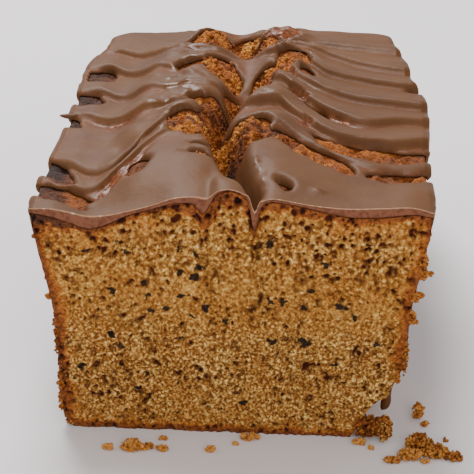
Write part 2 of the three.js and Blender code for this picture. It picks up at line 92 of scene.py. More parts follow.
# The crack: its line, depth and half width, against Y.
CRACK_LINE = [[0, 7.6], [5, 7], [10, 5.4], [16, 3.2], [22, 1.4], [32, -0.8], [45, -2], [56, -5], [68, -7.4],
              [80, -5.6], [87, -3], [96, -1.4], [106, -0.3], [125, 1.6], [150, 0], [170, 0.5], [185, -3],
              [200, -4]]
CRACK_DEPTH = [[0, 8.5], [6, 9], [14, 11], [26, 14], [38, 17], [46, 18], [54, 13], [62, 10], [70, 12],
               [92, 12], [106, 14], [120, 11], [132, 8], [140, 5], [147, 3.5], [154, 5], [165, 8], [175, 8],
               [186, 4], [200, 1]]
CRACK_HALF_WIDTH = [[0, 1.2], [10, 2.4], [20, 3.2], [38, 3.8], [55, 4], [80, 4.4], [106, 5], [125, 8],
                    [150, 8], [170, 7], [200, 6]]
CRACK_SHARPNESS = 2.2
LUMP_SHARPNESS = 2.6
TORN_REACH = 24  # the crumb tore open up to about this far from the crack

# Swellings of the crumb and three dents: height, x, y, half widths in x and y, any turn in degrees.
LUMPS = [
    [3.4, -16, 64, 8, 9], [2.4, -18, 79, 6, 6], [2, -16, 101, 7, 5], [3, -16, 121, 6, 7],
    [2, -12, 138, 8, 7], [5, -15, 186, 7.5, 7], [4.2, 14, 188, 9, 6], [3.6, 4, 54, 7, 8],
    [2.4, 13, 64, 9, 7], [2.4, 12, 88, 8, 7], [2, 14, 108, 7, 8], [2.2, 20, 132, 7, 10], [2, 21, 150, 7, 8],
    [1.4, -34, 62, 4, 8], [1.6, -32, 84, 4, 7], [1.4, -33, 106, 4, 7], [1.4, -32, 130, 4, 8],
    [1.8, -27, 150, 6, 8], [-1.6, -36, 48, 4, 6], [1, 28, 165, 5, 6], [-4, 13.5, 167, 3.5, 3],
    [-2.6, -0.6, 16, 4.6, 9, 12]]

# Valleys between the drizzled bands: their Y at each of the stations across, from the edge to the crest.
LEFT_STATIONS = [-60, -52, -44, -36, -30, -24, -12]
LEFT_VALLEYS = [[25, 24, 20, 28, 39, 51, 60], [46, 40, 32, 35, 50, 63, 72], [92, 88, 83, 82, 82, 84, 88],
                [118, 118, 110, 108, 106, 104, 102], [149, 149, 140, 134, 132, 128, 124],
                [172, 172, 166, 160, 158, 155, 152]]
RIGHT_STATIONS = [62, 54, 42, 30, 21, 14]
RIGHT_VALLEYS = [[36, 35, 35, 44, 51, 58], [59, 56, 56, 60, 69, 80], [80, 80, 76, 84, 95, 104],
                 [97, 99, 102, 107, 114, 122], [121, 123, 127, 131, 140, 148],
                 [141, 143, 149, 157, 162, 166], [168, 170, 174, 177, 178, 180]]
# The rows of points that run along the valleys: their Y where a row is straight.
VALLEY_ROWS = [34, 54, 84, 107, 132, 158, 178]
FIRST_BAND_START, LAST_BAND_END = -14, 215
BANDS_MEET = 6  # the bands of either side pass into each other this near the crack
RIM_X = {"left": -60.0, "right": 62.0}  # where the bands' height at the rim is read
# How high each band is for its kind, from the cut to the back.
LEFT_RISES = [1, 0.7, 0.75, 0.9, 0.85, 0.9, 0.8]
RIGHT_RISES = [1, 0.55, 1.15, 1.15, 1.2, 1.2, 1.1, 0.9]
BANDS = {"left": (LEFT_STATIONS, LEFT_VALLEYS, LEFT_RISES),
         "right": (RIGHT_STATIONS, RIGHT_VALLEYS, RIGHT_RISES)}

# Bare patches where the crust or crumb shows through: x, y, half widths in x and y, any turn in degrees.
BARE_PATCHES = [
    [-28, 29, 2.8, 5, -14], [-9, 43, 4, 1.8, -20], [-15.5, 64, 8, 11], [-8, 85, 6, 10], [-9.5, 71, 6, 10],
    [-15, 90, 4, 4], [4, 53, 7.5, 10], [-3.6, 47, 3.4, 8], [-6, 57, 5, 7], [-1, 108, 4.5, 10],
    [-8, 131, 7, 12], [-18, 131, 6, 8], [6, 108, 5, 11, -12], [10, 128, 7.5, 11, -12],
    [18, 144, 6.5, 12, -12], [24, 126, 3.4, 5], [-13, 174, 11, 17], [0, 173, 6, 11], [0, 189, 6, 7],
    [12, 168, 6, 5], [8, 179, 4, 6], [16.2, 10, 2, 2.5, 20], [-9.8, 33.5, 4.4, 2, 4]]
FAR_INSIDE = 9.0  # the distance from a bare patch is counted up to this

# Places in the crack and the crumb that go further down and are painted with shade: x, y, half widths in x
# and y, further depth.
SHADED_HOLLOWS = [
    [-2.8, 50, 2.8, 6, 6], [-7, 68, 2.6, 4, 3], [-2.4, 88, 2.4, 5, 2], [-0.5, 106, 3, 4, 4],
    [-1, 172, 4, 4, 3], [13.5, 167, 3, 2.6, 1], [3, 50.5, 1.6, 1.8, 1.6], [8.4, 46.5, 1.8, 1.6, 1.8],
    [-15, 66, 1.5, 1.5, 1.2], [-19, 71, 1.6, 1.4, 1.2], [9, 56.5, 2, 1.2, 1], [-6, 128, 2, 2, 1.4],
    [12, 131, 1.8, 2, 1.4], [-17, 172, 2.4, 2.4, 1.6]]

# Bare strips just in front of a band: side, which valley it lies along, X at either end, width.
BARE_STRIPS = [
    ["left", 0, -59.5, -42, 13], ["left", 1, -62, -49, 15], ["left", 2, -61, -53, 12],
    ["left", 3, -60, -50, 15], ["left", 4, -60, -49, 18], ["right", 0, 40, 62, 12],
    ["right", 0, 11, 36, 14], ["right", 1, 24, 64, 15], ["right", 2, 18, 32, 6], ["right", 4, 60, 65, 5]]
STRIP_SQUARENESS = 2.6
# Small wet bumps in the icing: x, y, half widths in x and y, height.
WET_BUMPS = [
    [26, 8, 1.9, 0.8, 0.8], [7.2, 23.7, 1.1, 1.5, 0.8], [8.6, 18.5, 0.8, 1.2, 0.5], [9.3, 12, 1, 1.6, 0.8],
    [9.6, 8, 0.8, 1, 0.5], [7, 27.5, 0.8, 1, 0.5], [21, 98, 2, 1.6, 0.7], [17, 101, 1.6, 1.6, 0.7],
    [-24, 57, 1.6, 2.4, 0.7], [-29, 50, 1.2, 2.2, 0.6]]
# Trails where the icing is only a thin coat on the crumb: as the bare strips.
THIN_STRIPS = [["left", 0, -42, -26, 9], ["right", 2, 24, 40, 5], ["left", 2, -48, -34, 4]]
# And spots of such a coat: x, y, half widths in x and y, any turn in degrees.
THIN_SPOTS = [[14, 187, 8, 6], [20, 96, 4, 6, -20], [22, 66, 3, 5, -25], [17, 118, 3, 5, -15]]

# The lower right corner of the cut has broken away: how far in, against height, and how far back.
CHIP = [[0, 12], [4, 12.4], [7, 11.3], [9, 10.2], [12.3, 7.4], [14, 4.8], [16, 4], [18.3, 3], [20, 2],
        [23, 0.7], [26, 0]]
CHIP_WHOLE, CHIP_END = 20, 42  # it is that deep up to the first of these Y and gone at the second


# ---- small functions
TABLE = 256  # the random values of a noise repeat after this many cells


def lerp(a, b, t):
    return a + (b - a) * t


def smoothstep(x, low, high):
    t = np.clip((x - low) / (high - low), 0, 1)
    return t * t * (3 - 2 * t)


def fade(x, low, high):
    return 1 - smoothstep(x, low, high)


def bell(reach, power=2):
    """1 at 0, about a third at 1 and next to nothing from 2 on."""
    return np.exp(-np.abs(reach) ** power)


def through(points, at):
    """Smooth curve through [position, value] points."""
    x, v = np.array(points, float).T
    at = np.clip(at, x[0], x[-1])
    step = np.arange(len(x))
    before, after = np.maximum(step - 1, 0), np.minimum(step + 1, len(x) - 1)
    slope = (v[after] - v[before]) / (x[after] - x[before])
    k = np.clip(np.searchsorted(x, at, side="right") - 1, 0, len(x) - 2)
    h = x[k + 1] - x[k]
    t = (at - x[k]) / h
    return ((2 * t**3 - 3 * t**2 + 1) * v[k] + (t**3 - 2 * t**2 + t) * h * slope[k]
            + (3 * t**2 - 2 * t**3) * v[k + 1] + (t**3 - t**2) * h * slope[k + 1])


def oval_reach(x, y, cx, cy, rx, ry, turn=0):
    """0 in the middle of an oval and 1 on its edge."""
    a = math.radians(turn)
    u = ((x - cx) * math.cos(a) + (y - cy) * math.sin(a)) / rx
    v = ((y - cy) * math.cos(a) - (x - cx) * math.sin(a)) / ry
    return np.hypot(u, v)


def noise(x, y, cell, seed):
    """Smooth noise from -1 to 1 with bumps about a cell apart."""
    table = np.random.default_rng(seed).uniform(-1, 1, (TABLE, TABLE))
    iu, iv = np.floor(x / cell).astype(int), np.floor(y / cell).astype(int)
    fu, fv = smoothstep(x / cell - iu, 0, 1), smoothstep(y / cell - iv, 0, 1)
    low, high = (lerp(table[iu % TABLE, v % TABLE], table[(iu + 1) % TABLE, v % TABLE], fu)
                 for v in (iv, iv + 1))
    return lerp(low, high, fv)


def layers(x, y, *layered):
    """Noise in layers, each given by its amount, cell and seed."""
    return sum(amount * noise(x, y, cell, seed) for amount, cell, seed in layered)


def warped(x, y, *layered):
    """A place moved about by noise. Each layer has its amount, its cell and a seed for either axis."""
    return (x + layers(x, y, *(row[:3] for row in layered)),
            y + layers(x, y, *((*row[:2], row[3]) for row in layered)))


def spots_around(x, y, cell, shift):
    """For the nine cells round each point: a cell's indices and how far off its own spot is, in cells."""
    iu, iv = np.floor(x / cell).astype(int), np.floor(y / cell).astype(int)
    for du in (-1, 0, 1):
        for dv in (-1, 0, 1):
            at = (iu + du) % TABLE, (iv + dv) % TABLE
            yield at, np.hypot(x / cell - iu - du - shift[0][at], y / cell - iv - dv - shift[1][at])


def bubbles(x, y, cell, seed):
    """Round dents, one or none to a cell: 1 in the middle of a bubble and 0 outside it."""
    *shift, size = np.random.default_rng(seed).uniform(0, 1, (3, TABLE, TABLE))
    deepest = np.zeros_like(x)
    for at, reach in spots_around(x, y, cell, shift):
        radius = 0.12 + 0.5 * size[at] ** 2
        deepest = np.maximum(deepest, np.clip(1 - (reach / radius) ** 2, 0, 1))
    return deepest


def granules(x, y, cell, seed):
    """Grains about a cell wide that lie side by side: 1 on top of a grain and 0 between grains."""
    shift = np.random.default_rng(seed).uniform(0, 1, (2, TABLE, TABLE))
    nearest = np.full_like(x, 2.0)
    for _, reach in spots_around(x, y, cell, shift):
        nearest = np.minimum(nearest, reach)
    return np.clip(1 - (nearest / 0.8) ** 2, 0, 1)


# ---- the crust and the icing as heights
def from_crack(x, y):
    return x - through(CRACK_LINE, y)


def torn_open(x, y):
    """1 beside the crack, where the crumb tore open, and 0 well away from it."""
    return bell(from_crack(x, y) / TORN_REACH, 4)


def pocket(x, y):
    middle, half_width, depth, reach = POCKET
    return depth * bell((x - middle) / half_width) * fade(y, 0, reach)


def crust_height(x, y):
    z = lerp(through(DOME_FRONT, x), through(DOME_MIDDLE, x), smoothstep(y, *FRONT_ENDS))
    z = lerp(z, through(DOME_BACK, x), smoothstep(y, *BACK_STARTS))
    for height, *oval in LUMPS:
        z = z + height * bell(oval_reach(x, y, *oval), LUMP_SHARPNESS)
    crack = bell(from_crack(x, y) / through(CRACK_HALF_WIDTH, y), CRACK_SHARPNESS)
    return z - pocket(x, y) - through(CRACK_DEPTH, y) * crack


def valley_line(x, side, number):
    """Y of the valley at the back of a band, against X."""
    stations, valleys, _ = BANDS[side]
    way = math.copysign(1, stations[0])
    line = [[way * station, place] for station, place in zip(stations, valleys[number])][::-1]
    return through(line, way * x)


def band_rise(x, y, side):
    """Near 0 in the valley before a band and about 1 at its front, falling off towards the valley behind."""
    _, valleys, rises = BANDS[side]
    rise, low, before = np.zeros_like(x), np.full_like(x, FIRST_BAND_START), rises[0]
    for number, full in enumerate(rises):
        high = valley_line(x, side, number) if number < len(valleys) else np.full_like(x, LAST_BAND_END)
        front = 1 - np.clip(1 - (y - low) / BAND_FRONT, 0, 1) ** 2
        fall = full * (1 - BAND_FALL * np.clip((y - low) / (high - low), 0, 1) ** BAND_BEND)
        rise = np.where((y >= low) & (y < high), lerp((1 - BAND_FALL) * before, fall, front), rise)
        low, before = high, full
    return rise


def strip_distance(x, y, strip):
    """About how many mm a point is outside a strip that lies along a valley."""
    side, number, start, end, width = strip
    line = valley_line(x, side, number) - width / 2
    along, across = (2 * x - start - end) / (end - start), 2 * (y - line) / width
    reach = (np.abs(along) ** STRIP_SQUARENESS + np.abs(across) ** STRIP_SQUARENESS) ** (1 / STRIP_SQUARENESS)
    return (reach - 1) * width / 2


def iced(x, y):
    """Above 0 where there is icing: about how many mm it is to the nearest bare patch."""
    from_ovals = [(oval_reach(x, y, *oval) - 1) * min(oval[2:4]) for oval in BARE_PATCHES]
    from_strips = [strip_distance(x, y, strip) for strip in BARE_STRIPS]
    return np.minimum(FAR_INSIDE, np.min(from_ovals + from_strips, axis=0))


def iced_raggedly(x, y):
    """As iced(), with the patches' outlines made uneven."""
    return iced(*warped(x, y, (1.4, 6, 81, 83), (0.6, 2.8, 82, 84)))


def icing_thickness(x, y):
    off = from_crack(x, y)
    rise = lerp(band_rise(x, y, "left"), band_rise(x, y, "right"), smoothstep(off, -BANDS_MEET, BANDS_MEET))
    at_rim = fade(x + through(LEFT_SIDE, y), 0, RIM_REACH)
    thinning = (1 - CRACK_THINNING * bell(off / CRACK_THIN_HALF)) * (1 - RIM_THINNING * at_rim)
    banded = FILM + BAND_RISE * rise * thinning
    fill = CRACK_FILL * bell(off / FILL_HALF) * fade(y, 0, FILL_END) + pocket(x, y)
    return fill + lerp(through(CUT_THICKNESS, x), banded, smoothstep(y, 0, CUT_REACH))


# ---- stations over the top
def column_places(cells):
    """Each column's place: 0 is the left wall, 1 and 2 the crack's strip, 3 the right wall."""
    return np.concatenate([[0.0]] + [zone + np.arange(1, n + 1) / n for zone, n in enumerate(cells)])


def row_places(step, corner_rows, near_cut=()):
    """Rows along the loaf, with one on each valley and a few more close to the cut."""
    marks = [0, *VALLEY_ROWS, STRAIGHT]
    plain = [np.linspace(a, b, max(1, round((b - a) / step)) + 1)[1:] for a, b in zip(marks, marks[1:])]
    corner = STRAIGHT + CORNER_RADIUS * np.sin(math.pi / 2 * np.arange(1, corner_rows + 1) / corner_rows)
    return np.concatenate([[0], near_cut, *plain, corner])


def bend_along(x, row, side):
    """Y of a straight row once it bends with the valleys on one side of the crack."""
    marks = [0, *VALLEY_ROWS[:len(BANDS[side][1])], STRAIGHT]
    y, low = row * 1.0, np.zeros_like(x)
    for number, (start, end) in enumerate(zip(marks, marks[1:])):
        high = valley_line(x, side, number) if end < STRAIGHT else np.full_like(x, STRAIGHT)
        y = np.where((row >= start) & (row < end), lerp(low, high, (row - start) / (end - start)), y)
        low = high
    return y


def plan_x(place, y, side, chip):
    left = side - through(LEFT_SIDE, y)
    right = through(RIGHT_SIDE, y) - side - chip * fade(y, CHIP_WHOLE, CHIP_END)
    crack = through(CRACK_LINE, y)
    zone = np.minimum(2, np.floor(place))
    t = place - zone
    return np.where(zone == 0, lerp(left, crack - STRIP_HALF, t),
                    np.where(zone == 1, crack + STRIP_HALF * (2 * t - 1), lerp(crack + STRIP_HALF, right, t)))


def bent_row(place, row):
    """Y of a column's place on a row that bends with the valleys between the bands."""
    y = row
    for _ in range(3):
        x = plan_x(place, y, 0.0, 0.0)
        right = smoothstep(from_crack(x, y), -STRIP_HALF, STRIP_HALF)
        y = lerp(bend_along(x, row, "left"), bend_along(x, row, "right"), right)
    return y


def plan_point(place, row, inset, chip=0.0):
    """X and Y of a column's place on a row, drawn in by an inset from the walls."""
    place, row = np.broadcast_arrays(np.asarray(place, float), np.asarray(row, float))
    into = np.maximum(0, row - STRAIGHT)
    angle = np.arcsin(np.clip(into / CORNER_RADIUS, 0, 1))
    radius = np.maximum(LEAST_CORNER, CORNER_RADIUS - inset)
    pull = inset + radius - CORNER_RADIUS
    side = np.where(into > 0, inset + radius * (1 - np.cos(angle)), inset)
    y = bent_row(place, row)
    x = plan_x(place, y, side, chip)
    y = np.where(into > 0, STRAIGHT - pull + radius * np.sin(angle),
                 y - pull * np.clip(1 - (STRAIGHT - y) / CORNER_PULL, 0, 1))
    return x, y - CUT_SKEW * x * np.clip(1 - y / (LENGTH / 2), 0, 1)


def wall_point(place, row, z, further_in=0.0):
    """As plan_point(), for a point of the wall at height z."""
    return plan_point(place, row, through(WALL_INSET, z) + further_in, through(CHIP, z))


def torn_off(y, z):
    """1 where the lower right corner's wall has broken away and 0 where it is whole."""
    deep = through(CHIP, z) * fade(y, CHIP_WHOLE, CHIP_END)
    ragged = layers(y, z, (1.6, 7, 101), (1.1, 3, 102), (0.5, 1.3, 103))
    return smoothstep(deep + ragged, 1.2, 3) * smoothstep(deep, 0.1, 0.8)


# ---- putting meshes together
SPONGE_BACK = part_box("sponge")[1][1] / MM
MIDDLE_LINE = 1.77  # the box's middle lies this far to the right of the middle line at the cut


def move_to_frame(points):
    """From the cut at Y 0 to the frame, whose origin is the middle of the base."""
    return np.asarray(points, float) + [-MIDDLE_LINE, SPONGE_BACK - LENGTH, 0]


def new_object(name, data):
    made = bpy.data.objects.new(name, data)
    bpy.context.scene.collection.objects.link(made)
    return made


class Surface:
    """Points, faces and painted values that patches are added to."""

    def __init__(self, *values):
        self.points, self.faces, self.values = [], [], {name: [] for name in values}
        self.count = 0

    def add(self, points, **values):
        """Adds an array of points of any shape and gives back their indices in that shape."""
        points = np.asarray(points, float)
        flat = points.reshape(-1, points.shape[-1])
        self.points.append(flat)
        for name, store in self.values.items():
            value = np.asarray(values.get(name, 0.0), float)
            store.append(np.broadcast_to(value, points.shape[:-1]).reshape(-1))
        index = np.arange(self.count, self.count + len(flat)).reshape(points.shape[:-1])
        self.count += len(flat)
        return index

    def grid(self, index):
        """Two triangles for each cell of a 2-D array of indices."""
        a, b, c, d = index[:-1, :-1], index[1:, :-1], index[1:, 1:], index[:-1, 1:]
        self.faces += [np.stack(corners, -1).reshape(-1, 3) for corners in ((a, b, c), (a, c, d))]

    def zip(self, one, one_at, two, two_at):
        """Triangles between two lines of indices, each with its own places along the way."""
        i = j = 0
        made = []
        while i < len(one) - 1 or j < len(two) - 1:
            if j == len(two) - 1 or (i < len(one) - 1 and one_at[i + 1] <= two_at[j + 1]):
                made.append((one[i], one[i + 1], two[j]))
                i += 1
            else:
                made.append((one[i], two[j + 1], two[j]))
                j += 1
        self.faces.append(np.array(made))

    def fan(self, loop, centre):
        self.faces.append(np.stack([loop, np.roll(loop, -1), np.full_like(loop, centre)], -1))

    def piece(self, name, material):
        """The finished object, shaded smoothly and with its faces outward."""
        mesh = bpy.data.meshes.new(name)
        points = move_to_frame(np.concatenate(self.points)) * MM
        mesh.from_pydata(points.tolist(), [], np.concatenate(self.faces).tolist())
        for key, store in self.values.items():
            layer = mesh.attributes.new(key, "FLOAT", "POINT")
            layer.data.foreach_set("value", np.concatenate(store).astype(np.float32))
        mesh.materials.append(material)
        mesh.polygons.foreach_set("use_smooth", [True] * len(mesh.polygons))
        shape = bmesh.new()
        shape.from_mesh(mesh)
        bmesh.ops.recalc_face_normals(shape, faces=shape.faces)
        shape.to_mesh(mesh)
        shape.free()
        return new_object(name, mesh)


# ---- sponge
FACE_COLUMNS, FACE_LEVELS = 262, 166  # of the cut face, whose crumb is the finest
SPONGE_CELLS = (38, 52, 38)
SPONGE_ROW_STEP, SPONGE_CORNER_ROWS = 0.95, 9
WALL_LEVELS = np.linspace(1, 0, 33)  # of a wall's points, from the rim down, as shares of the rim's height
FACE_STRIP = 0.8  # the cut face is joined to the first row behind it by a strip this wide
STRIP_FADE = 6  # which pushes the rows back up to this far from the cut
BACK_ZONE = 40  # mm of the back wall to a zone of columns
CHIPPED_PLACE = 2.9  # the columns beyond this belong to the right wall
UPPER_CRUMB = (52, 68)  # the crumb of the cut is more open above these heights
PIT_DEPTH, SKIN = 1.9, 0.35  # of the large pits, and what stands out in front of the cut

# How browned things are, from 0 for crumb to 1 for the darkest crust.
CRUST_BAKE, CRUST_BAKE_ON_LEFT, TORN_BAKE = 0.66, 0.93, 0.48
WALL_BAKE, WALL_BAKE_AT_CUT, CHIP_BAKE, BASE_BAKE = 0.74, 0.66, 0.3, 0.9

# How deep the browned crumb goes below the top of the cut, against X.
BROWNED_TOP = [[-60, 6], [-55, 5], [-50, 3.4], [-44, 2.2], [-30, 2], [-16, 2.6], [-11, 5], [-6, 8], [0, 8.5],
               [5, 6], [8, 2.5], [12, 4], [20, 4.4], [30, 3.2], [38, 2.4], [50, 2.6], [57, 4], [62, 5]]
# Thickness of the browned rind at either side of the cut, against height.
RIND_LEFT = [[0, 5.6], [20, 5], [40, 4.2], [55, 3], [70, 2]]
RIND_RIGHT = [[0, 3.5], [18, 4.4], [40, 4.6], [55, 3.8], [70, 2.4]]
BURNT_CORNER, BURNT_WIDTH = -56, 12  # X of the darkest part of the cut's upper edge
SWELLING = [0, 75.6, 5, 3.6]  # the swelling beside the crack, on the cut: x, z, half widths

# Dark bits of chocolate in the cut face: x, z and half width in mm.
SPECKS = [
    [-41.5, 58.6, 1.2], [-44.8, 20.6, 1.1], [-9.6, 51.6, 1.5], [4.8, 10.8, 1.4], [44.2, 31.6, 1.2],
    [33.4, 43.6, 1.7], [-8.5, 54.6, 1.6], [-14.2, 53, 1.3], [-34.6, 46.7, 1.1], [-29.8, 59.1, 1],
    [-24.6, 48.6, 1.4], [-23.7, 45, 0.9], [-23.1, 40.5, 1.1], [-18.8, 41.3, 1.2], [-14, 45, 1],
    [-6.4, 41.6, 1.3], [-10.4, 38.7, 0.9], [-13.9, 31.1, 1], [-35, 32.2, 1.2], [-32.6, 27.9, 1.1],
    [-24.8, 19, 1.2], [-27.2, 14.4, 1], [-9.4, 58.5, 1.3], [-14.2, 60.2, 1], [22.8, 31.4, 1.9],
    [37.1, 40.6, 1.2], [22, 42.4, 1.1], [12.2, 44.7, 1.3], [16.3, 44.6, 1.1], [40.5, 63.2, 1],
    [11.3, 62.6, 1.3], [13.2, 31.6, 1.4], [31.3, 24.6, 1.3], [-1.2, 37.8, 1], [28.5, 56.4, 1.2],
    [24, 48.3, 1.2]]
SPECK_FLATNESS = 1.25  # they are this much wider than high
# Large pits in the cut face near the crack, dented and painted with shade: x, z, half widths in x and z,
# strength.
FACE_PITS = [[2.9, 75.3, 0.95, 1.5, 1], [-0.3, 76.8, 1.1, 0.6, 0.8], [-2.1, 74.3, 1, 0.8, 0.55],
             [0.5, 73.8, 0.7, 0.6, 0.6], [-5.4, 70.9, 0.9, 0.8, 0.6], [6, 69.9, 0.9, 0.6, 0.8],
             [9.6, 73, 0.6, 0.6, 0.5], [-9.2, 71.2, 0.7, 0.5, 0.5], [1.2, 75.4, 0.4, 0.5, 0.4]]


def crumb_relief(x, z):
    """Depth of the cut's open crumb below its skin, mm, and how much shade is painted into its pits, from 0
    to 1.
    """
    wx, wz = warped(x, z, (0.5, 1.7, 46, 47))
    gaps = 1 - granules(wx, wz, 1.35, 40)
    pits = bubbles(wx + 31, wz, 2.2, 41) * smoothstep(noise(x, z, 5, 48), -0.5, 0.3)
    large = bubbles(wx, wz + 17, 5, 42) * smoothstep(noise(x, z, 9, 43), 0, 0.6)
    rough = layers(x, z, (1, 0.9, 44), (0.7, 2.2, 45))
    upper = smoothstep(z, *UPPER_CRUMB)
    opened = bubbles(x + 7, z, 2.6, 44) * smoothstep(noise(x, z, 4, 45), -0.8, 0.1) * upper
    depth = 0.5 * gaps + 0.8 * pits + 0.9 * large - 0.2 * rough + 0.9 * opened
    shade = np.clip(0.32 * gaps + 0.75 * pits + 0.5 * large - 0.16 * rough, 0, 1)
    return depth, np.clip(shade * (1 + 0.35 * upper) + opened, 0, 1)


def torn_relief(x, y):
    """As crumb_relief(), for the coarser crumb that tore open on top."""
    wx, wy = warped(x, y, (0.8, 2.4, 76, 77))
    pits, small = bubbles(wx, wy, 4.6, 70), bubbles(wx + 13, wy, 2.4, 71)
    rough = noise(wx, wy, 2.0, 72) + 0.6 * noise(x, y, 1.05, 73)
    depth = 2.4 * pits + 1.1 * small - 0.65 * rough - layers(x, y, (1.1, 4.8, 23), (0.7, 2.2, 24))
    return depth, np.clip(0.95 * pits + 0.6 * small - 0.2 * rough, 0, 1)


def torn_browning(x, y):
    return TORN_BAKE + layers(x, y, (0.28, 7, 25), (0.12, 3, 27))


def hollow_shade_and_depth(x, y):
    """How much shade is painted into the hollows, from 0 to 1, and how much deeper they go."""
    dark, further = np.zeros_like(x), np.zeros_like(x)
    for *oval, depth in SHADED_HOLLOWS:
        shape = bell(oval_reach(x, y, *oval), 2.4)
        dark = np.maximum(dark, shape * min(1, 0.4 + depth / 6))
        further = further + depth * shape
    return dark, further


def behind_face(y, row):
    """Moves the first rows back, to leave room for the strip behind the cut face."""
    return y + FACE_STRIP * np.clip(1 - row / STRIP_FADE, 0, 1)


def add_top(surface, place, row):
    """The crust under the icing, and the torn crumb in and beside the crack."""
    x, y = plan_point(place, row, 0.0)
    y = behind_face(y, row)
    bare = smoothstep(-iced_raggedly(x, y), -0.4, 1.0)
    torn = torn_open(x, y)
    at_edge = smoothstep(-x, 46, 56) + 0.3 * smoothstep(x, 52, 60)
    on_right = smoothstep(x, 8, 24)
    depth, shade = torn_relief(x, y)
    dark, further = hollow_shade_and_depth(x, y)
    rough = bare * lerp(0.35 + 0.35 * on_right, 1, torn)
    z = crust_height(x, y) - rough * depth - further * bare + 0.12 * noise(x, y, 2.5, 5)
    crusty = lerp(CRUST_BAKE - 0.1 * on_right, CRUST_BAKE_ON_LEFT, at_edge)
    crusty = crusty + layers(x, y, (0.14, 6, 21), (0.1, 2, 22))
    torn_bake = torn_browning(x, y) + 0.14 * noise(x, y, 1.6, 26)
    # Painted shade: the torn crumb's pits and the shaded hollows are darkened in colour.
    index = surface.add(np.stack([x, y, z], -1), bake=lerp(crusty, torn_bake, torn * bare),
                        pore=shade * bare * lerp(0.55, 1, torn), speck=dark * bare)
    surface.grid(index)
    return index, z


def add_wall(surface, place, row, edge, edge_z, at_back):
    """A wall from its edge down to the base. Gives back its rows of indices, the edge's first."""
    level, place = np.meshgrid(WALL_LEVELS[1:], place, indexing="ij")
    row = np.broadcast_to(row, place.shape)
    z = level * edge_z
    along = place * BACK_ZONE if at_back else row
    dent = layers(along, z, (0.35, 9, 31), (0.28, 3, 32))
    dent = dent + 0.45 * bubbles(along, z, 3.1, 33) - 0.25 * granules(along, z, 2.4, 36)
    x, y = wall_point(place, row, z, dent * smoothstep(z, 0, 4))
    y = behind_face(y, row)
    baked = WALL_BAKE + layers(along, z, (0.06, 26, 34), (0.05, 7, 35), (0.05, 2.6, 37))
    baked = baked + 0.16 * fade(z, 0, 7)
    baked = lerp(np.minimum(baked, WALL_BAKE_AT_CUT), baked, smoothstep(row, 1, 8))
    chipped = torn_off(y, z) * (place > CHIPPED_PLACE)
    # Painted shade: the broken corner's crumb is darkened a little.
    index = surface.add(np.stack([x, y, z], -1), bake=lerp(baked, CHIP_BAKE, chipped), pore=0.2 * chipped)
    return np.concatenate([edge[None], index])


def face_pits(x, z):
    wx, wz = warped(x, z, (0.5, 1.2, 66, 67))
    return np.max([strength * bell(oval_reach(wx, wz, *oval), 3) for *oval, strength in FACE_PITS], axis=0)


def specks(x, z):
    wx, wz = warped(x, z, (0.9, 1.3, 61, 64), (0.4, 0.7, 63, 65))
    return np.max([smoothstep(-np.hypot(wx - cx, (wz - cz) * SPECK_FLATNESS) / half, -1.35, -0.5)
                   for cx, cz, half in SPECKS], axis=0)


def face_browning(x, z, to_left, to_right, to_top):
    """How browned the cut is: rind at its sides, base and top, and golden crumb inside that."""
    wander = 1 + layers(x, z, (0.3, 6, 51), (0.35, 1.8, 52), (0.4, 0.9, 53))
    left, right, top = (through(table, at) * wander
                        for table, at in ((RIND_LEFT, z), (RIND_RIGHT, z), (BROWNED_TOP, x)))
    burnt = bell((x - BURNT_CORNER) / BURNT_WIDTH)
    rind = np.max([0.7 - 0.58 * smoothstep(to_left, 0.15 * left, 1.15 * left),
                   0.62 - 0.5 * smoothstep(to_right, 0.15 * right, 1.15 * right),
                   0.72 - 0.72 * smoothstep(z, 0.3, 5 * wander),
                   lerp(0.66, 0.95, burnt) * fade(to_top, 0.35 * top, 1.2 * top)], axis=0)
    golden = 0.2 * fade(to_top, 3, 13) + 0.17 * fade(z, 3, 16)
    golden = golden + 0.12 * fade(np.minimum(to_left, to_right), 2, 9)
    swelling = fade(oval_reach(x, z, *SWELLING), 0.7, 1.05)
    bake = np.maximum(np.clip(rind - 0.1, 0, 1), golden * wander)
    return bake + swelling * (0.04 + 0.14 * noise(x, z, 2.2, 57))


def add_cut_face(surface):
    """The cut through the crumb. Gives back its indices and their places across and up."""
    across, up = np.linspace(0, 3, FACE_COLUMNS + 1), np.linspace(0, 1, FACE_LEVELS + 1)
    place, level = np.meshgrid(across, up, indexing="ij")
    rim_z = crust_height(*plan_point(place, 0.0, 0.0))
    z = level * rim_z
    x, y = wall_point(place, 0.0, z)
    to_left = x - plan_point(0.0, 0.0, through(WALL_INSET, z))[0]
    to_right = plan_point(3.0, 0.0, through(WALL_INSET, z))[0] - x
    bake = face_browning(x, z, to_left, to_right, rim_z - z)
    depth, shade = crumb_relief(x, z)
    torn_edge = fade(np.minimum(to_left, to_right), 0, 5)
    ragged = layers(x, z, (0.5, 1.6, 55), (0.4, 0.8, 56))
    x = x + ragged * (np.exp(-to_left / 1.5) - np.exp(-to_right / 1.5))
    pits = face_pits(x, z)
    y = y + depth * (1 + 0.5 * torn_edge) - SKIN + PIT_DEPTH * pits
    # Painted shade: the crumb's pits are darkened in colour, and the large pits nearly to black.
    index = surface.add(np.stack([x, y, z], -1), bake=bake, pore=np.clip(shade + pits, 0, 1),
                        speck=np.maximum(specks(x, z), 0.5 * smoothstep(pits, 0.5, 1)))
    surface.grid(index)
    return index, across, up


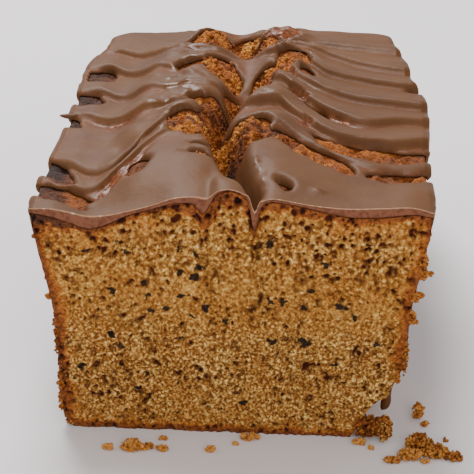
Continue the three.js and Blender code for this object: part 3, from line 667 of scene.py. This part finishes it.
def make_sponge(material):
    surface = Surface("bake", "pore", "speck")
    places = column_places(SPONGE_CELLS)
    place, row = np.meshgrid(places, row_places(SPONGE_ROW_STEP, SPONGE_CORNER_ROWS), indexing="ij")
    top, top_z = add_top(surface, place, row)
    left, right, back = (add_wall(surface, place[at], row[at], top[at], top_z[at], at_back)
                         for at, at_back in ((0, False), (-1, False), ((slice(1, -1), -1), True)))
    back = np.concatenate([left[:, -1:], back, right[:, -1:]], axis=1)
    for wall in (left, right, back):
        surface.grid(wall)
    face, across, up = add_cut_face(surface)

    # the strip that joins the cut face to the rows behind it
    surface.zip(face[:, -1], across, top[:, 0], places)
    for end, wall in ((0, left), (-1, right)):
        surface.zip(face[end, ::-1], 1 - up[::-1], wall[:, 0], 1 - WALL_LEVELS)

    foot = np.concatenate([left[-1], back[-1, 1:-1], right[-1, ::-1], face[::-1, 0]])
    surface.fan(foot, surface.add([[0, LENGTH / 2, 0]], bake=BASE_BAKE)[0])
    return surface.piece("loaf_sponge", material)


# ---- icing
ICING_CELLS = (46, 46, 46)
ICING_ROW_STEP, ICING_CORNER_ROWS = 0.95, 14
ICING_NEAR_CUT = (0.25, 0.6)  # extra rows, for the painted highlight along the cut's edge
LIP_OUT = 1.3  # how far the icing swells over the rim
LIP_RINGS = 12
EDGE_ROUNDING = 2.2  # the icing's edge round a bare patch curves down over this distance
EDGE_THICKNESS = 0.35
LEAST_THICKNESS, COAT_THICKNESS = 0.3, 0.75
LEAST_DROP, DROP_AT_CUT, DROP_AT_BACK = 0.6, 0.8, 1.5  # how far it hangs over the rim
CUT_LEVELS = 4  # steps down the icing's cut edge

# Drips down the walls: side, Y, half width, length.
DRIPS = [["left", 6, 4, 13], ["right", 8, 2.6, 9], ["left", 52, 4, 9], ["left", 121, 5, 16],
         ["right", 58, 5, 12], ["right", 98, 5, 17], ["right", 152, 5, 8], ["left", 170, 4, 9]]
DRIP_THINNING = 0.45  # a long drip is this much of the lip's thickness on its way down
# The long drip by the missing corner: height, how far it hangs in from the wall, half widths in x and y.
LONG_DRIP = [[70.5, 0.3, 0.9, 2.4], [66, -0.1, 0.7, 2], [58, -0.2, 0.6, 1.6], [40, -0.2, 0.6, 1.4],
             [24, -0.2, 0.6, 1.3], [19, 1, 0.6, 1.2], [13, 3.2, 0.7, 1.1], [10, 4.2, 1.1, 1.3],
             [8, 4.6, 1.5, 1.5], [6.2, 4.7, 1.5, 1.5], [4.9, 4.7, 1, 1], [4.4, 4.7, 0.3, 0.3]]
LONG_DRIP_Y = 8
LONG_DRIP_BULB = 12  # its rings are closer together below this height
# A thread that stands out from the left rim: x, y, z, half width.
THREAD = [[-54, 92, 70.8, 1.2], [-58, 91.4, 71.2, 1.4], [-60, 91, 71.3, 1.2], [-61.4, 90.7, 71.5, 0.8],
          [-62.3, 90.4, 71.7, 0.3]]
THREAD_FLATNESS = 0.7
TUBE_SIDES = 12


def lip_drop(side, row):
    """How far the icing hangs over the rim there."""
    edge = np.full_like(row, RIM_X[side])
    drop = 1.2 + 2.2 * band_rise(edge, row, side) + layers(row, edge, (0.7, 7, 91), (0.3, 2.5, 92))
    for drip_side, place, half, length in DRIPS:
        if drip_side == side:
            drop = np.maximum(drop, length * np.clip(1 - ((row - place) / half) ** 2, 0, 1) ** 0.8)
    return lerp(DROP_AT_CUT, np.maximum(drop, 0.7), smoothstep(row, 0, 7))


def wrinkles(x, y):
    """Where fine folds lie in the icing on the shoulders beside the crack, and their height."""
    off = np.abs(from_crack(x, y) + 3)
    beside = smoothstep(off, 6, 13) * fade(off, 26, 38) * smoothstep(y, 46, 70)
    beside = beside * smoothstep(noise(x, y, 16, 97), -0.5, 0.3)
    return beside, layers(x * 0.8 + y * 0.6, (y * 0.8 - x * 0.6) * 0.55, (0.5, 3.2, 98), (0.28, 1.7, 99))


def add_sheet(sheet):
    """The icing over the top. A point holds its upper place and then its lower one."""
    rows = row_places(ICING_ROW_STEP, ICING_CORNER_ROWS, ICING_NEAR_CUT)
    place, row = np.meshgrid(column_places(ICING_CELLS), rows, indexing="ij")
    x, y = plan_point(place, row, 0.0)
    inside = iced_raggedly(x, y)
    low = crust_height(x, y) + GAP
    rounding = np.sqrt(1 - (1 - np.clip(inside / EDGE_ROUNDING, 0, 1)) ** 2)
    beside, folds = wrinkles(x, y)
    full = icing_thickness(x, y) + (0.2 * noise(x, y, 7, 95) + beside * folds) * smoothstep(y, 0, 12)
    wet_bumps = np.zeros_like(x)
    for *oval, height in WET_BUMPS:
        bump = bell(oval_reach(x, y, *oval))
        full, wet_bumps = full + height * bump, np.maximum(wet_bumps, bump)
    uneven = noise(x, y, 4, 94)
    strips = [fade(strip_distance(x, y, strip) + 1.2 * uneven, -1.5, 1) for strip in THIN_STRIPS]
    spots = [fade(oval_reach(x, y, *oval) + 0.25 * uneven, 0.6, 1.1) for oval in THIN_SPOTS]
    thin = np.max(strips + spots, axis=0)
    bumpy = layers(x, y, (0.5, 2.6, 23), (0.35, 1.5, 24)) - 0.5 * bubbles(x, y, 3.6, 28)
    full = lerp(full, COAT_THICKNESS + bumpy, thin)
    thick = lerp(EDGE_THICKNESS, np.maximum(full, LEAST_THICKNESS), rounding)
    wet_folds = beside * smoothstep(noise(x, y, 5, 29), -0.1, 0.5)
    wet = np.max([*strips, 0.4 * thin, wet_folds, wet_bumps], axis=0)
    thin = np.maximum(thin, 0.4 * fade(full, 0.8, 2.2) * smoothstep(y, 2, 14))
    points = np.stack([x, y, low + thick, x, y, low], -1)
    index = sheet.add(points, within=inside, thin=thin, wet=wet)
    sheet.grid(index)
    add_lip(sheet, place, row, index, points, inside)


def add_lip(sheet, place, row, index, points, inside):
    """Rings of points outside the rim: up the left side, along the back, down the right side."""
    last, back = place.shape[0] - 1, place.shape[1] - 1
    walk = [(0, j) for j in range(back)] + [(i, back) for i in range(last)]
    i, j = np.array(walk + [(last, j) for j in range(back, -1, -1)]).T
    place, row, before = place[i, j], row[i, j], index[i, j]
    rim, top_z = points[i, j, 3:], points[i, j, 2]
    outward = rim[:, :2] - np.stack(plan_point(place, row, 1.0), -1)
    outward /= np.linalg.norm(outward, axis=1)[:, None]
    at_back = DROP_AT_BACK + 0.9 * noise(place * BACK_ZONE, row, 8, 93)
    drop = np.where(i == 0, lip_drop("left", row), np.where(i == last, lip_drop("right", row), at_back))
    drop = np.maximum(drop, LEAST_DROP)
    near_cut = lerp(0.35, 1, smoothstep(row, 0, 8))
    for q in np.arange(1, LIP_RINGS + 1) / LIP_RINGS:
        fall = drop * q**1.6
        z = rim[:, 2] - fall
        wall = through(WALL_INSET, rim[:, 2]) - through(WALL_INSET, z) + GAP
        swell = (top_z - rim[:, 2]) * (1 - q) ** 0.5
        thin = lerp(1, DRIP_THINNING, smoothstep(fall, 3, 9) * fade(fall - drop, -6, -1))
        out = LIP_OUT * min(1, (q * 3) ** 0.5) * np.sqrt(1 - 0.9 * q**6) * thin * near_cut
        upper = np.column_stack([rim[:, :2] + outward * (wall + out)[:, None], z + swell])
        lower = np.column_stack([rim[:, :2] + outward * wall[:, None], z - 0.05])
        ring = sheet.add(np.concatenate([upper, lower], 1), within=inside[i, j])
        sheet.grid(np.stack([before, ring]))
        before = ring


def trim(points, within, faces):
    """Cuts the sheet's triangles where it is bare and keeps the largest piece that hangs together."""
    keep = within[faces] > 0
    whole = [tuple(face) for face in faces[keep.all(1)]]
    extra, cuts = [], {}

    def crossing(*edge):
        p, q = sorted(edge)
        if (p, q) not in cuts:
            t = min(0.9, max(0.1, within[p] / (within[p] - within[q])))
            over, under = np.split(lerp(points[p], points[q], t), 2)
            over = under + (over - under) * EDGE_THICKNESS / np.linalg.norm(over - under)
            cuts[p, q] = len(points) + len(extra)
            extra.append([*over, *under])
        return cuts[p, q]

    for face in faces[keep.any(1) & ~keep.all(1)].tolist():
        part = []
        for a, b in zip(face, face[1:] + face[:1]):
            if within[a] > 0:
                part.append(a)
            if (within[a] > 0) != (within[b] > 0):
                part.append(crossing(a, b))
        whole.append(tuple(part[:3]))
        if len(part) == 4:
            whole.append((part[0], part[2], part[3]))
    points = np.concatenate([points, extra])
    return points, largest_part(np.array(whole), len(points))


def largest_part(faces, count):
    label = np.arange(count)
    while True:
        lowest = label[faces].min(1)
        new = label.copy()
        for k in range(3):
            np.minimum.at(new, faces[:, k], lowest)
        new = new[new]
        if (new == label).all():
            break
        label = new
    names, sizes = np.unique(label[faces[:, 0]], return_counts=True)
    return faces[label[faces[:, 0]] == names[sizes.argmax()]]


def edge_ladders(solid, border, up, down, at_cut):
    """For each point of the sheet's edge, the indices down it: a few on the cut, else just its two ends."""
    ladders, steps = {}, []
    for p in sorted({p for edge in border for p in edge}):
        between = []
        for k in range(1, CUT_LEVELS) if at_cut[p] else ():
            ripple = 0.12 * math.sin(up[p, 0] * 2.3 + k) + 0.1 * math.sin(up[p, 0] * 5.1 + 2 * k)
            between.append(solid.count + len(steps))
            steps.append(lerp(up[p], down[p], k / CUT_LEVELS) + [0, ripple - 0.1, 0])
        ladders[p] = [p, *between, p + len(up)]
    solid.add(steps, cut=1.0)
    return ladders


def edge_walls(border, ladders):
    """Triangles that close the solid along the sheet's edge."""
    walls = []
    for p, q in border:
        one, two = ladders[p], ladders[q]
        if len(one) == len(two):
            for k in range(len(one) - 1):
                walls += [(one[k], one[k + 1], two[k + 1]), (one[k], two[k + 1], two[k])]
        else:
            short, long = sorted((one, two), key=len)
            walls += [(long[k], long[k + 1], short[min(k, 1)]) for k in range(len(long) - 1)]
            walls.append((long[1], short[0], short[1]))
    return np.array(walls)


def add_tube(surface, middles, half_widths, axes):
    """A closed tube round the middles. Its rings lie in the two axes."""
    turn = 2 * math.pi * np.arange(TUBE_SIDES) / TUBE_SIDES
    rings = np.repeat(middles[:, None], TUBE_SIDES, axis=1)
    for axis, half, wave in zip(axes, half_widths, (np.cos(turn), np.sin(turn))):
        rings[..., axis] += half[:, None] * wave
    index = surface.add(rings)
    surface.grid(np.concatenate([index, index[:, :1]], 1))
    for end in (0, -1):
        surface.fan(index[end], surface.add([rings[end].mean(0)])[0])


def add_threads(surface):
    """The long drip by the missing corner, and the thread past the left rim."""
    table = np.array(LONG_DRIP)[::-1]
    z = np.concatenate([np.linspace(table[0, 0], LONG_DRIP_BULB, 14), np.linspace(13, table[-1, 0], 30)])
    inward, half_x, half_y = (through(table[:, [0, k]], z) for k in (1, 2, 3))
    x = through(RIGHT_SIDE, LONG_DRIP_Y) - through(WALL_INSET, z) - inward + half_x * 0.5
    add_tube(surface, np.stack([x, np.full_like(z, LONG_DRIP_Y), z], -1), (half_x, half_y), (0, 1))
    rows = np.array(THREAD)
    add_tube(surface, rows[:, :3], (rows[:, 3], THREAD_FLATNESS * rows[:, 3]), (1, 2))


def make_icing(material):
    """A closed solid from the sheet's upper and lower points, with the drip and the thread."""
    sheet = Surface("within", "thin", "wet")
    add_sheet(sheet)
    within, thin, wet = (np.concatenate(store) for store in sheet.values.values())
    points, faces = trim(np.concatenate(sheet.points), within, np.concatenate(sheet.faces))
    used, faces = np.unique(faces, return_inverse=True)
    faces = faces.reshape(-1, 3)
    up, down = np.split(points[used], 2, axis=1)
    at_cut = up[:, 1] <= -CUT_SKEW * up[:, 0] + 0.01
    added = np.zeros(len(points) - sheet.count)
    thin, wet = (np.concatenate([value, added])[used] for value in (thin, wet))

    solid = Surface("cut", "line", "thin", "wet")
    # The upper points on the cut carry the painted highlight along the cut's edge.
    solid.add(up, line=at_cut, thin=thin, wet=wet)
    solid.add(down, cut=at_cut, thin=thin, wet=wet)
    solid.faces += [faces, faces[:, ::-1] + len(up)]
    edges = dict.fromkeys(edge for a, b, c in faces.tolist() for edge in ((a, b), (b, c), (c, a)))
    border = [edge for edge in edges if edge[::-1] not in edges]
    ladders = edge_ladders(solid, border, up, down, at_cut)
    add_threads(solid)
    solid.faces.append(edge_walls(border, ladders))
    return solid.piece("loaf_icing", material)


# ---- crumbs
# Ragged bits on the cut's edges: side, how far out of the wall, height, half widths, grains, browned.
EDGE_BITS = [
    ["right", 0.4, 57, [1.3, 1, 4.5], 34, 0.34], ["right", 2.4, 54.4, [2.2, 0.8, 0.9], 18, 0.24],
    ["right", 0.6, 46.9, [1.5, 1, 1.7], 22, 0.3], ["right", 2.2, 47.6, [1, 0.8, 0.9], 9, 0.24],
    ["right", 0.5, 40.6, [1.3, 1, 2.6], 22, 0.34], ["right", 1.8, 39, [1.1, 0.8, 0.8], 9, 0.28],
    ["right", 0, 28, [0.8, 1, 8], 40, 0.38], ["right", 0, 20, [1.3, 1.2, 1.2], 14, 0.26],
    ["left", 0, 62.8, [0.5, 0.5, 0.9], 5, 0.5], ["left", 0.6, 43.4, [1.3, 0.7, 0.7], 9, 0.36],
    ["left", 0, 12, [0.8, 0.9, 9], 40, 0.4], ["left", -1, 1.4, [1.8, 1, 1], 18, 0.3],
    ["left", -0.1, 33, [0.6, 0.8, 9], 30, 0.44]]
# A broken piece that leans against the missing corner, and its browned side.
CHUNK = [[[42.4, -1.6, 3.9], [4.2, 3, 3.4], 120, 0.46], [[47, -3.4, 4.6], [2.5, 2.6, 4.2], 95, 0.28]]
# Loose crumbs at the foot.
LOOSE = [
    [[-28.4, -11.6, 1.5], [3.4, 1.7, 2.3], 58, 0.08], [[-24, -11, 0.9], [2, 1, 1.2], 18, 0.16],
    [[-35.5, -11.6, 0.9], [1.5, 0.8, 1], 12, 0.04], [[-19.4, -11.6, 0.8], [1.8, 0.8, 0.9], 14, 0.12],
    [[-19.4, -5.4, 0.6], [1.1, 0.6, 0.6], 7, 0.18], [[-5, -11.8, 0.8], [1.6, 0.7, 1], 12, 0.02],
    [[6.5, -4.4, 1], [3.2, 1.2, 1.3], 26, 0.12], [[2.6, -7.4, 0.5], [0.9, 0.5, 0.5], 4, 0.08],
    [[39.4, -5.6, 0.9], [2.2, 1.1, 1], 18, 0.04], [[43, -8.6, 0.5], [0.9, 0.5, 0.5], 4, 0.08],
    [[58.4, 11, 2.6], [1.8, 1.6, 2.8], 34, 0.2], [[60.4, 6, 0.8], [1.2, 0.9, 0.8], 9, 0.18],
    [[57.2, -8.2, 2.2], [4.2, 3, 3.2], 120, 0.3], [[54.4, -13.2, 1.2], [3.8, 2.2, 1.7], 56, 0.1],
    [[61.8, -11.8, 1.6], [4.2, 2.6, 2.1], 84, 0.28], [[67, -13.6, 1.1], [2.6, 1.6, 1.5], 34, 0.38],
    [[48.8, -15.8, 0.8], [2.6, 0.9, 1], 24, 0.3], [[66, -3, 0.5], [0.9, 0.6, 0.5], 5, 0.3],
    [[63.4, -6.2, 0.4], [1.3, 0.6, 0.4], 6, 0.12], [[58.4, -15.6, 0.5], [1.4, 0.8, 0.6], 8, 0.05]]
FINENESS = 2.6  # finer grains made for each one in the tables
GRAIN_SIZES = (0.32, 0.66)  # of half a grain, before it is stretched
SUNK = 0.75  # a grain's middle is at least this share of its size over the floor
LEAST_HEIGHT = 0.02  # of any point over the floor
# Grains on the broken face: number, sizes, lowest and highest, and how far back they go.
CHIP_GRAINS, CHIP_SIZES, CHIP_HEIGHTS, CHIP_REACH = 900, (0.5, 1.1), (0.6, 22), 38
# Torn crumb: X and Y from and to, about how far apart its grains are, and how much of the rim has none.
TORN_X, TORN_Y, TORN_SPACING, CLEAR_RIM = (-60, 62), (1, 196), 0.85, 2.5


def edge_lumps():
    """The bits on the cut's edges as lumps like those of the loose crumbs."""
    lumps = []
    for side, out, height, half, count, bake in EDGE_BITS:
        place, way = (0.0, -1) if side == "left" else (3.0, 1)
        x, y = wall_point(place, 0.0, height)
        lumps.append([[float(x) + way * out, float(y) + 0.9, height], half, count, bake])
    return lumps


def lump_grains(rng, centre, half, count, bake):
    """Places, sizes and browning of grains that fill an oval lump."""
    count = round(count * FINENESS)
    spots = rng.uniform(-1, 1, (count * 4, 3))
    spots = np.array(centre) + spots[np.linalg.norm(spots, axis=1) < 1][:count] * np.array(half)
    size = rng.uniform(*GRAIN_SIZES, len(spots))
    spots[:, 2] = np.maximum(spots[:, 2], SUNK * size)
    return spots, size, bake + rng.uniform(-0.16, 0.2, len(spots))


def chip_grains(rng):
    """Grains on the broken face of the missing corner."""
    height, back = rng.uniform(*CHIP_HEIGHTS, CHIP_GRAINS), CHIP_REACH * rng.uniform(0, 1, CHIP_GRAINS)
    x, y = wall_point(3.0, back, height, 0.5)
    spots = np.stack([x, y + 0.6, height], -1)[torn_off(y, height) > rng.uniform(0.3, 0.9, CHIP_GRAINS)]
    return spots, rng.uniform(*CHIP_SIZES, len(spots)), 0.16 + rng.uniform(-0.1, 0.12, len(spots))


def torn_grains(rng):
    """Grains of the torn crumb in and beside the crack."""
    x, y = np.meshgrid(*(np.arange(*ends, TORN_SPACING) for ends in (TORN_X, TORN_Y)), indexing="ij")
    x, y = (values.ravel() + rng.uniform(-0.5, 0.5, values.size) for values in (x, y))
    within = (x > CLEAR_RIM - through(LEFT_SIDE, y)) & (x < through(RIGHT_SIDE, y) - CLEAR_RIM)
    kept = (iced_raggedly(x, y) < -0.3) & within & (rng.uniform(0, 1, x.shape) < 0.5 * torn_open(x, y))
    x, y = x[kept], y[kept]
    size = 0.42 + 0.6 * rng.uniform(0, 1, len(x)) ** 2
    dark, further = hollow_shade_and_depth(x, y)
    z = crust_height(x, y) - torn_relief(x, y)[0] - further - 0.4 * size
    bake = torn_browning(x, y) + rng.uniform(-0.16, 0.14, len(x))
    # No grains are put where much shade is painted.
    lit = dark < 0.4
    return np.stack([x, y, z], -1)[lit], size[lit], bake[lit]


def ball():
    """Points and faces of a small round form with 12 points."""
    shape = bmesh.new()
    bmesh.ops.create_icosphere(shape, subdivisions=1, radius=1)
    points = np.array([v.co[:] for v in shape.verts])
    faces = np.array([[v.index for v in f.verts] for f in shape.faces])
    shape.free()
    return points, faces


def make_crumbs(material):
    rng = np.random.default_rng(7)
    lumps = [lump_grains(rng, *lump) for lump in edge_lumps() + CHUNK + LOOSE]
    grains = [*lumps, chip_grains(rng), torn_grains(rng)]
    centres, sizes, bakes = (np.concatenate(parts) for parts in zip(*grains))
    ends = np.cumsum([len(size) for _, size, _ in lumps])
    order = np.arange(len(centres))
    loose = (order >= ends[-1 - len(LOOSE)]) & (order < ends[-1])

    points, faces = ball()
    count, each = len(centres), len(points)
    turns = np.linalg.qr(rng.normal(size=(count, 3, 3)))[0]
    stretch = rng.uniform(0.55, 1.5, (count, 1, 3))
    shaped = points * stretch * (1 + rng.uniform(-0.32, 0.32, (count, each, 1)))
    shaped = np.einsum("nij,nkj->nki", turns, shaped) * sizes[:, None, None] + centres[:, None]
    shaped[..., 2] = np.maximum(shaped[..., 2], LEAST_HEIGHT)
    surface = Surface("bake", "loose")
    index = surface.add(shaped, bake=np.clip(bakes, 0.05, 0.85)[:, None], loose=loose[:, None])
    surface.faces.append(index[:, faces].reshape(-1, 3))
    return surface.piece("loaf_crumbs", material)


# ---- materials. Colours are written with their usual 0 to 255 values
# The crumb's tone against its grain pattern: darker between grains, partly as painted shade, and paler on the
# grains, partly as painted highlight.
CRUMB_SHADES = [(0.0, (104, 58, 20)), (0.35, (172, 113, 46)), (0.7, (216, 160, 78)), (1.0, (252, 212, 132))]
RIND_SHADES = [(0.0, (196, 140, 66)), (0.28, (208, 130, 52)), (0.5, (170, 94, 38)), (0.74, (112, 63, 34)),
               (1.0, (56, 33, 23))]
# Painted light: loose crumbs on the floor are made paler towards this colour, to look lit from above and in
# front.
LOOSE_CRUMB_LIT = (255, 174, 84)
# The first tint is tone that differs at random; the second darkens the rind between its grains and the third
# darkens pores and pits, both as painted shade.
DRIFT_TINT, RIND_GAP_SHADE, HOLLOW_SHADE = (220, 182, 124), (128, 74, 42), (100, 50, 20)
# Dark bits of chocolate in the cut face, and painted shade deep in the hollows and the large pits.
DARK_BIT_AND_SHADE = (26, 17, 14)
ICING_SHADES = [(0.35, (90, 56, 31)), (0.65, (101, 65, 37))]
COAT_SHADES = [(0.38, (84, 42, 22)), (0.62, (138, 76, 44))]
CUT_ICING, CUT_ICING_DARK = (128, 80, 58), (104, 62, 44)
# Painted highlight along the icing's cut edge, with painted glints.
EDGE_HIGHLIGHT, EDGE_GLINT = (200, 152, 118), (250, 226, 205)
FLOOR = (236, 230, 230)
COARSE_FROM = (0.03, 0.058)  # the crumb is coarse above these heights, in metres
PALER_FROM = (0.05, 0.07)  # and paler above these


def srgb(red, green, blue):
    """A colour from its usual values to the linear ones that a shader takes."""
    return (*[(c / 255 / 12.92) if c <= 10 else ((c / 255 + 0.055) / 1.055) ** 2.4
              for c in (red, green, blue)], 1.0)


class Nodes:
    """Short ways to add and join the nodes of one material."""

    def __init__(self, name):
        self.material = bpy.data.materials.new(name)
        self.material.use_nodes = True
        self.tree = self.material.node_tree
        self.shader = self.tree.nodes["Principled BSDF"]
        self.place = self.add("ShaderNodeTexCoord", {}).outputs["Object"]

    def set(self, node, inputs):
        """Links a node's inputs or gives them a value. Three numbers are a colour."""
        for key, value in inputs.items():
            if isinstance(value, bpy.types.NodeSocket):
                self.tree.links.new(value, node.inputs[key])
            else:
                node.inputs[key].default_value = srgb(*value) if isinstance(value, tuple) else value
        return node

    def add(self, kind, inputs, **settings):
        node = self.tree.nodes.new(kind)
        for key, value in settings.items():
            setattr(node, key, value)
        return self.set(node, inputs)

    def attributes(self, *names):
        return [self.add("ShaderNodeAttribute", {}, attribute_name=name).outputs["Fac"] for name in names]

    def noise(self, scale, detail, rough=0.55):
        inputs = {"Vector": self.place, "Scale": scale, "Detail": detail, "Roughness": rough}
        return self.add("ShaderNodeTexNoise", inputs).outputs["Fac"]

    def clots(self, clot_scale, cell_scale, half_range):
        """Grains of crumb: about 1 on a grain and 0 between grains."""
        clots = self.span(self.noise(clot_scale, 5, 0.62), 0.5 - half_range, 0.5 + half_range)
        cells = self.add("ShaderNodeTexVoronoi", {"Vector": self.place, "Scale": cell_scale})
        return self.math("ADD", clots, self.span(cells.outputs["Distance"], 0.15, 0.75, 0.275, -0.275), True)

    def math(self, operation, a, b, clamp=False):
        return self.add("ShaderNodeMath", {0: a, 1: b}, operation=operation, use_clamp=clamp).outputs[0]

    def span(self, value, *limits):
        """The value from a low and a high limit to 0 and 1, or to the next two limits."""
        inputs = dict(enumerate((value, *limits)))
        return self.add("ShaderNodeMapRange", inputs, clamp=True).outputs[0]

    def ramp(self, value, stops):
        node = self.add("ShaderNodeValToRGB", {0: value})
        line = node.color_ramp.elements
        while len(line) < len(stops):
            line.new(0.5)
        for element, (place, colour) in zip(line, stops):
            element.position, element.color = place, srgb(*colour)
        return node.outputs["Color"]

    def mix(self, amount, a, b, blend="MIX"):
        inputs = {"Factor": amount, 6: a, 7: b}
        return self.add("ShaderNodeMix", inputs, data_type="RGBA", blend_type=blend).outputs[2]

    def bump(self, height, distance, strength, **after):
        inputs = {"Height": height, "Distance": distance, "Strength": strength, **after}
        return self.add("ShaderNodeBump", inputs).outputs["Normal"]


def sponge_material():
    nodes = Nodes("baked_sponge")
    bake, pore, speck, loose = nodes.attributes("bake", "pore", "speck", "loose")
    drift, rough = nodes.noise(90, 3), nodes.noise(1300, 4, 0.65)
    height = nodes.add("ShaderNodeSeparateXYZ", {0: nodes.place}).outputs["Z"]

    coarse = nodes.clots(760, 900, 0.16)
    fine = nodes.math("ADD", nodes.clots(1050, 1250, 0.12), 0.05)
    upper = nodes.span(height, *COARSE_FROM)
    grain = nodes.math("ADD", fine, nodes.math("MULTIPLY", nodes.math("SUBTRACT", coarse, fine), upper))
    grain = nodes.math("ADD", grain, nodes.span(height, *PALER_FROM, 0, 0.12))
    crumb = nodes.ramp(grain, CRUMB_SHADES)
    crumb = nodes.mix(nodes.span(drift, 0.35, 0.7, 0, 0.5), crumb, DRIFT_TINT, "MULTIPLY")
    # Painted light: the loose crumbs are made paler.
    crumb = nodes.mix(nodes.math("MULTIPLY", loose, 0.75), crumb, LOOSE_CRUMB_LIT)

    a_little = nodes.span(rough, 0.3, 0.7, -0.1, 0.1)
    baked_at = nodes.math("ADD", bake, a_little, True)
    rind = nodes.ramp(baked_at, RIND_SHADES)
    # Painted shade between the rind's grains.
    rind = nodes.mix(nodes.span(grain, 0.0, 0.55, 0.8, 0.0), rind, RIND_GAP_SHADE, "MULTIPLY")
    colour = nodes.mix(nodes.span(baked_at, 0.08, 0.34), crumb, rind)
    # Painted shade in the crumb's pores and pits.
    hollow_shade = nodes.span(nodes.math("ADD", pore, a_little), 0.22, 0.9)
    colour = nodes.mix(hollow_shade, colour, HOLLOW_SHADE, "MULTIPLY")
    # Dark bits of chocolate, and painted shade deep in the hollows and the large pits.
    dark = nodes.math("ADD", speck, nodes.span(rough, 0.3, 0.7, -0.3, 0.3))
    colour = nodes.mix(nodes.span(dark, 0.15, 0.75, 0, 0.96), colour, DARK_BIT_AND_SHADE)

    small_bumps = nodes.bump(rough, 0.0005, 0.7)
    nodes.set(nodes.shader, {"Base Color": colour, "Roughness": nodes.span(bake, 0.3, 0.9, 0.92, 0.7),
                             "Specular IOR Level": 0.25,
                             "Normal": nodes.bump(grain, 0.0007, 0.8, Normal=small_bumps)})
    return nodes.material


def icing_material():
    nodes = Nodes("milk_chocolate_icing")
    cut, line, thin, wet = nodes.attributes("cut", "line", "thin", "wet")
    drift, fleck = nodes.noise(45, 4), nodes.noise(700, 3)

    colour = nodes.ramp(drift, ICING_SHADES)
    colour = nodes.mix(nodes.math("MULTIPLY", thin, 0.85), colour, nodes.ramp(fleck, COAT_SHADES))
    inner = nodes.mix(nodes.span(fleck, 0.45, 0.62), CUT_ICING, CUT_ICING_DARK)
    colour = nodes.mix(nodes.span(cut, 0.2, 0.8), colour, inner)
    # Painted highlight and painted glints along the icing's cut edge.
    edge_glints = nodes.mix(nodes.span(nodes.noise(420, 2), 0.6, 0.72), EDGE_HIGHLIGHT, EDGE_GLINT)
    colour = nodes.mix(nodes.span(line, 0.35, 0.95), colour, edge_glints)

    rough = nodes.math("ADD", nodes.span(drift, 0.3, 0.7, 0.44, 0.54), nodes.math("MULTIPLY", cut, 0.3))
    rough = nodes.math("SUBTRACT", rough, nodes.math("MULTIPLY", wet, 0.32))
    small_bumps = nodes.bump(nodes.noise(520, 3), 0.0002, 0.4)
    nodes.set(nodes.shader, {"Base Color": colour, "Roughness": rough, "Specular IOR Level": 0.13,
                             "Normal": nodes.bump(nodes.noise(160, 3), 0.0007, 0.4, Normal=small_bumps)})
    return nodes.material


# ---- the pieces
baked = sponge_material()
sponge = make_sponge(baked)
crumbs = make_crumbs(baked)
icing = make_icing(icing_material())
for piece, node in ((sponge, "sponge"), (crumbs, "sponge"), (icing, "chocolate_icing")):
    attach(piece, "root")
    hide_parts(node)

# ---- floor, light and camera
CAMERA_PLACE = (18.0, -392.8, 226.7)  # mm, from the foot of the cut's middle
CAMERA_TURN, CAMERA_TILT = 2.25, 22.41  # degrees to the left of +Y, and down
CAMERA_FOCUS = 1471 / 474  # focal length over the picture's width
SENSOR = 36.0
FLOOR_SIZE = 6  # metres
# Round lamps, aimed at the loaf: name, place and width in metres, power.
LAMPS = [("window_behind", (-0.35, 0.9, 0.9), 0.5, 7), ("fill_in_front", (0.3, -1.2, 0.55), 0.7, 6),
         ("overhead", (-0.14, 0.42, 1.05), 0.45, 12)]
LAMP_AIM = (0, 0, 0.04)
SKY_STRENGTH = 0.64


def make_floor():
    bpy.ops.mesh.primitive_plane_add(size=FLOOR_SIZE, location=(0, 0, 0))
    floor = bpy.context.object
    floor.name = "floor"
    nodes = Nodes("pale_floor")
    nodes.set(nodes.shader, {"Base Color": FLOOR, "Roughness": 0.7})
    floor.data.materials.append(nodes.material)


def make_lamp(name, place, size, power):
    lamp = bpy.data.lights.new(name, "AREA")
    lamp.shape, lamp.size, lamp.energy = "DISK", size, power
    holder = new_object(name, lamp)
    holder.location = place
    holder.rotation_euler = (Vector(LAMP_AIM) - Vector(place)).to_track_quat("-Z", "Y").to_euler()


def make_sky():
    world = bpy.data.worlds.new("studio")
    world.use_nodes = True
    sky = world.node_tree.nodes["Background"].inputs
    sky["Color"].default_value, sky["Strength"].default_value = (1, 1, 1, 1), SKY_STRENGTH
    bpy.context.scene.world = world


def make_camera():
    camera = bpy.data.cameras.new("camera")
    camera.sensor_width = SENSOR
    camera.lens = SENSOR * CAMERA_FOCUS
    camera.clip_start, camera.clip_end = 0.01, 20
    holder = new_object("camera", camera)
    holder.location = move_to_frame(CAMERA_PLACE) * MM
    holder.rotation_euler = (math.radians(90 - CAMERA_TILT), 0, math.radians(CAMERA_TURN))
    bpy.context.scene.camera = holder


make_floor()
make_sky()
for lamp in LAMPS:
    make_lamp(*lamp)
make_camera()
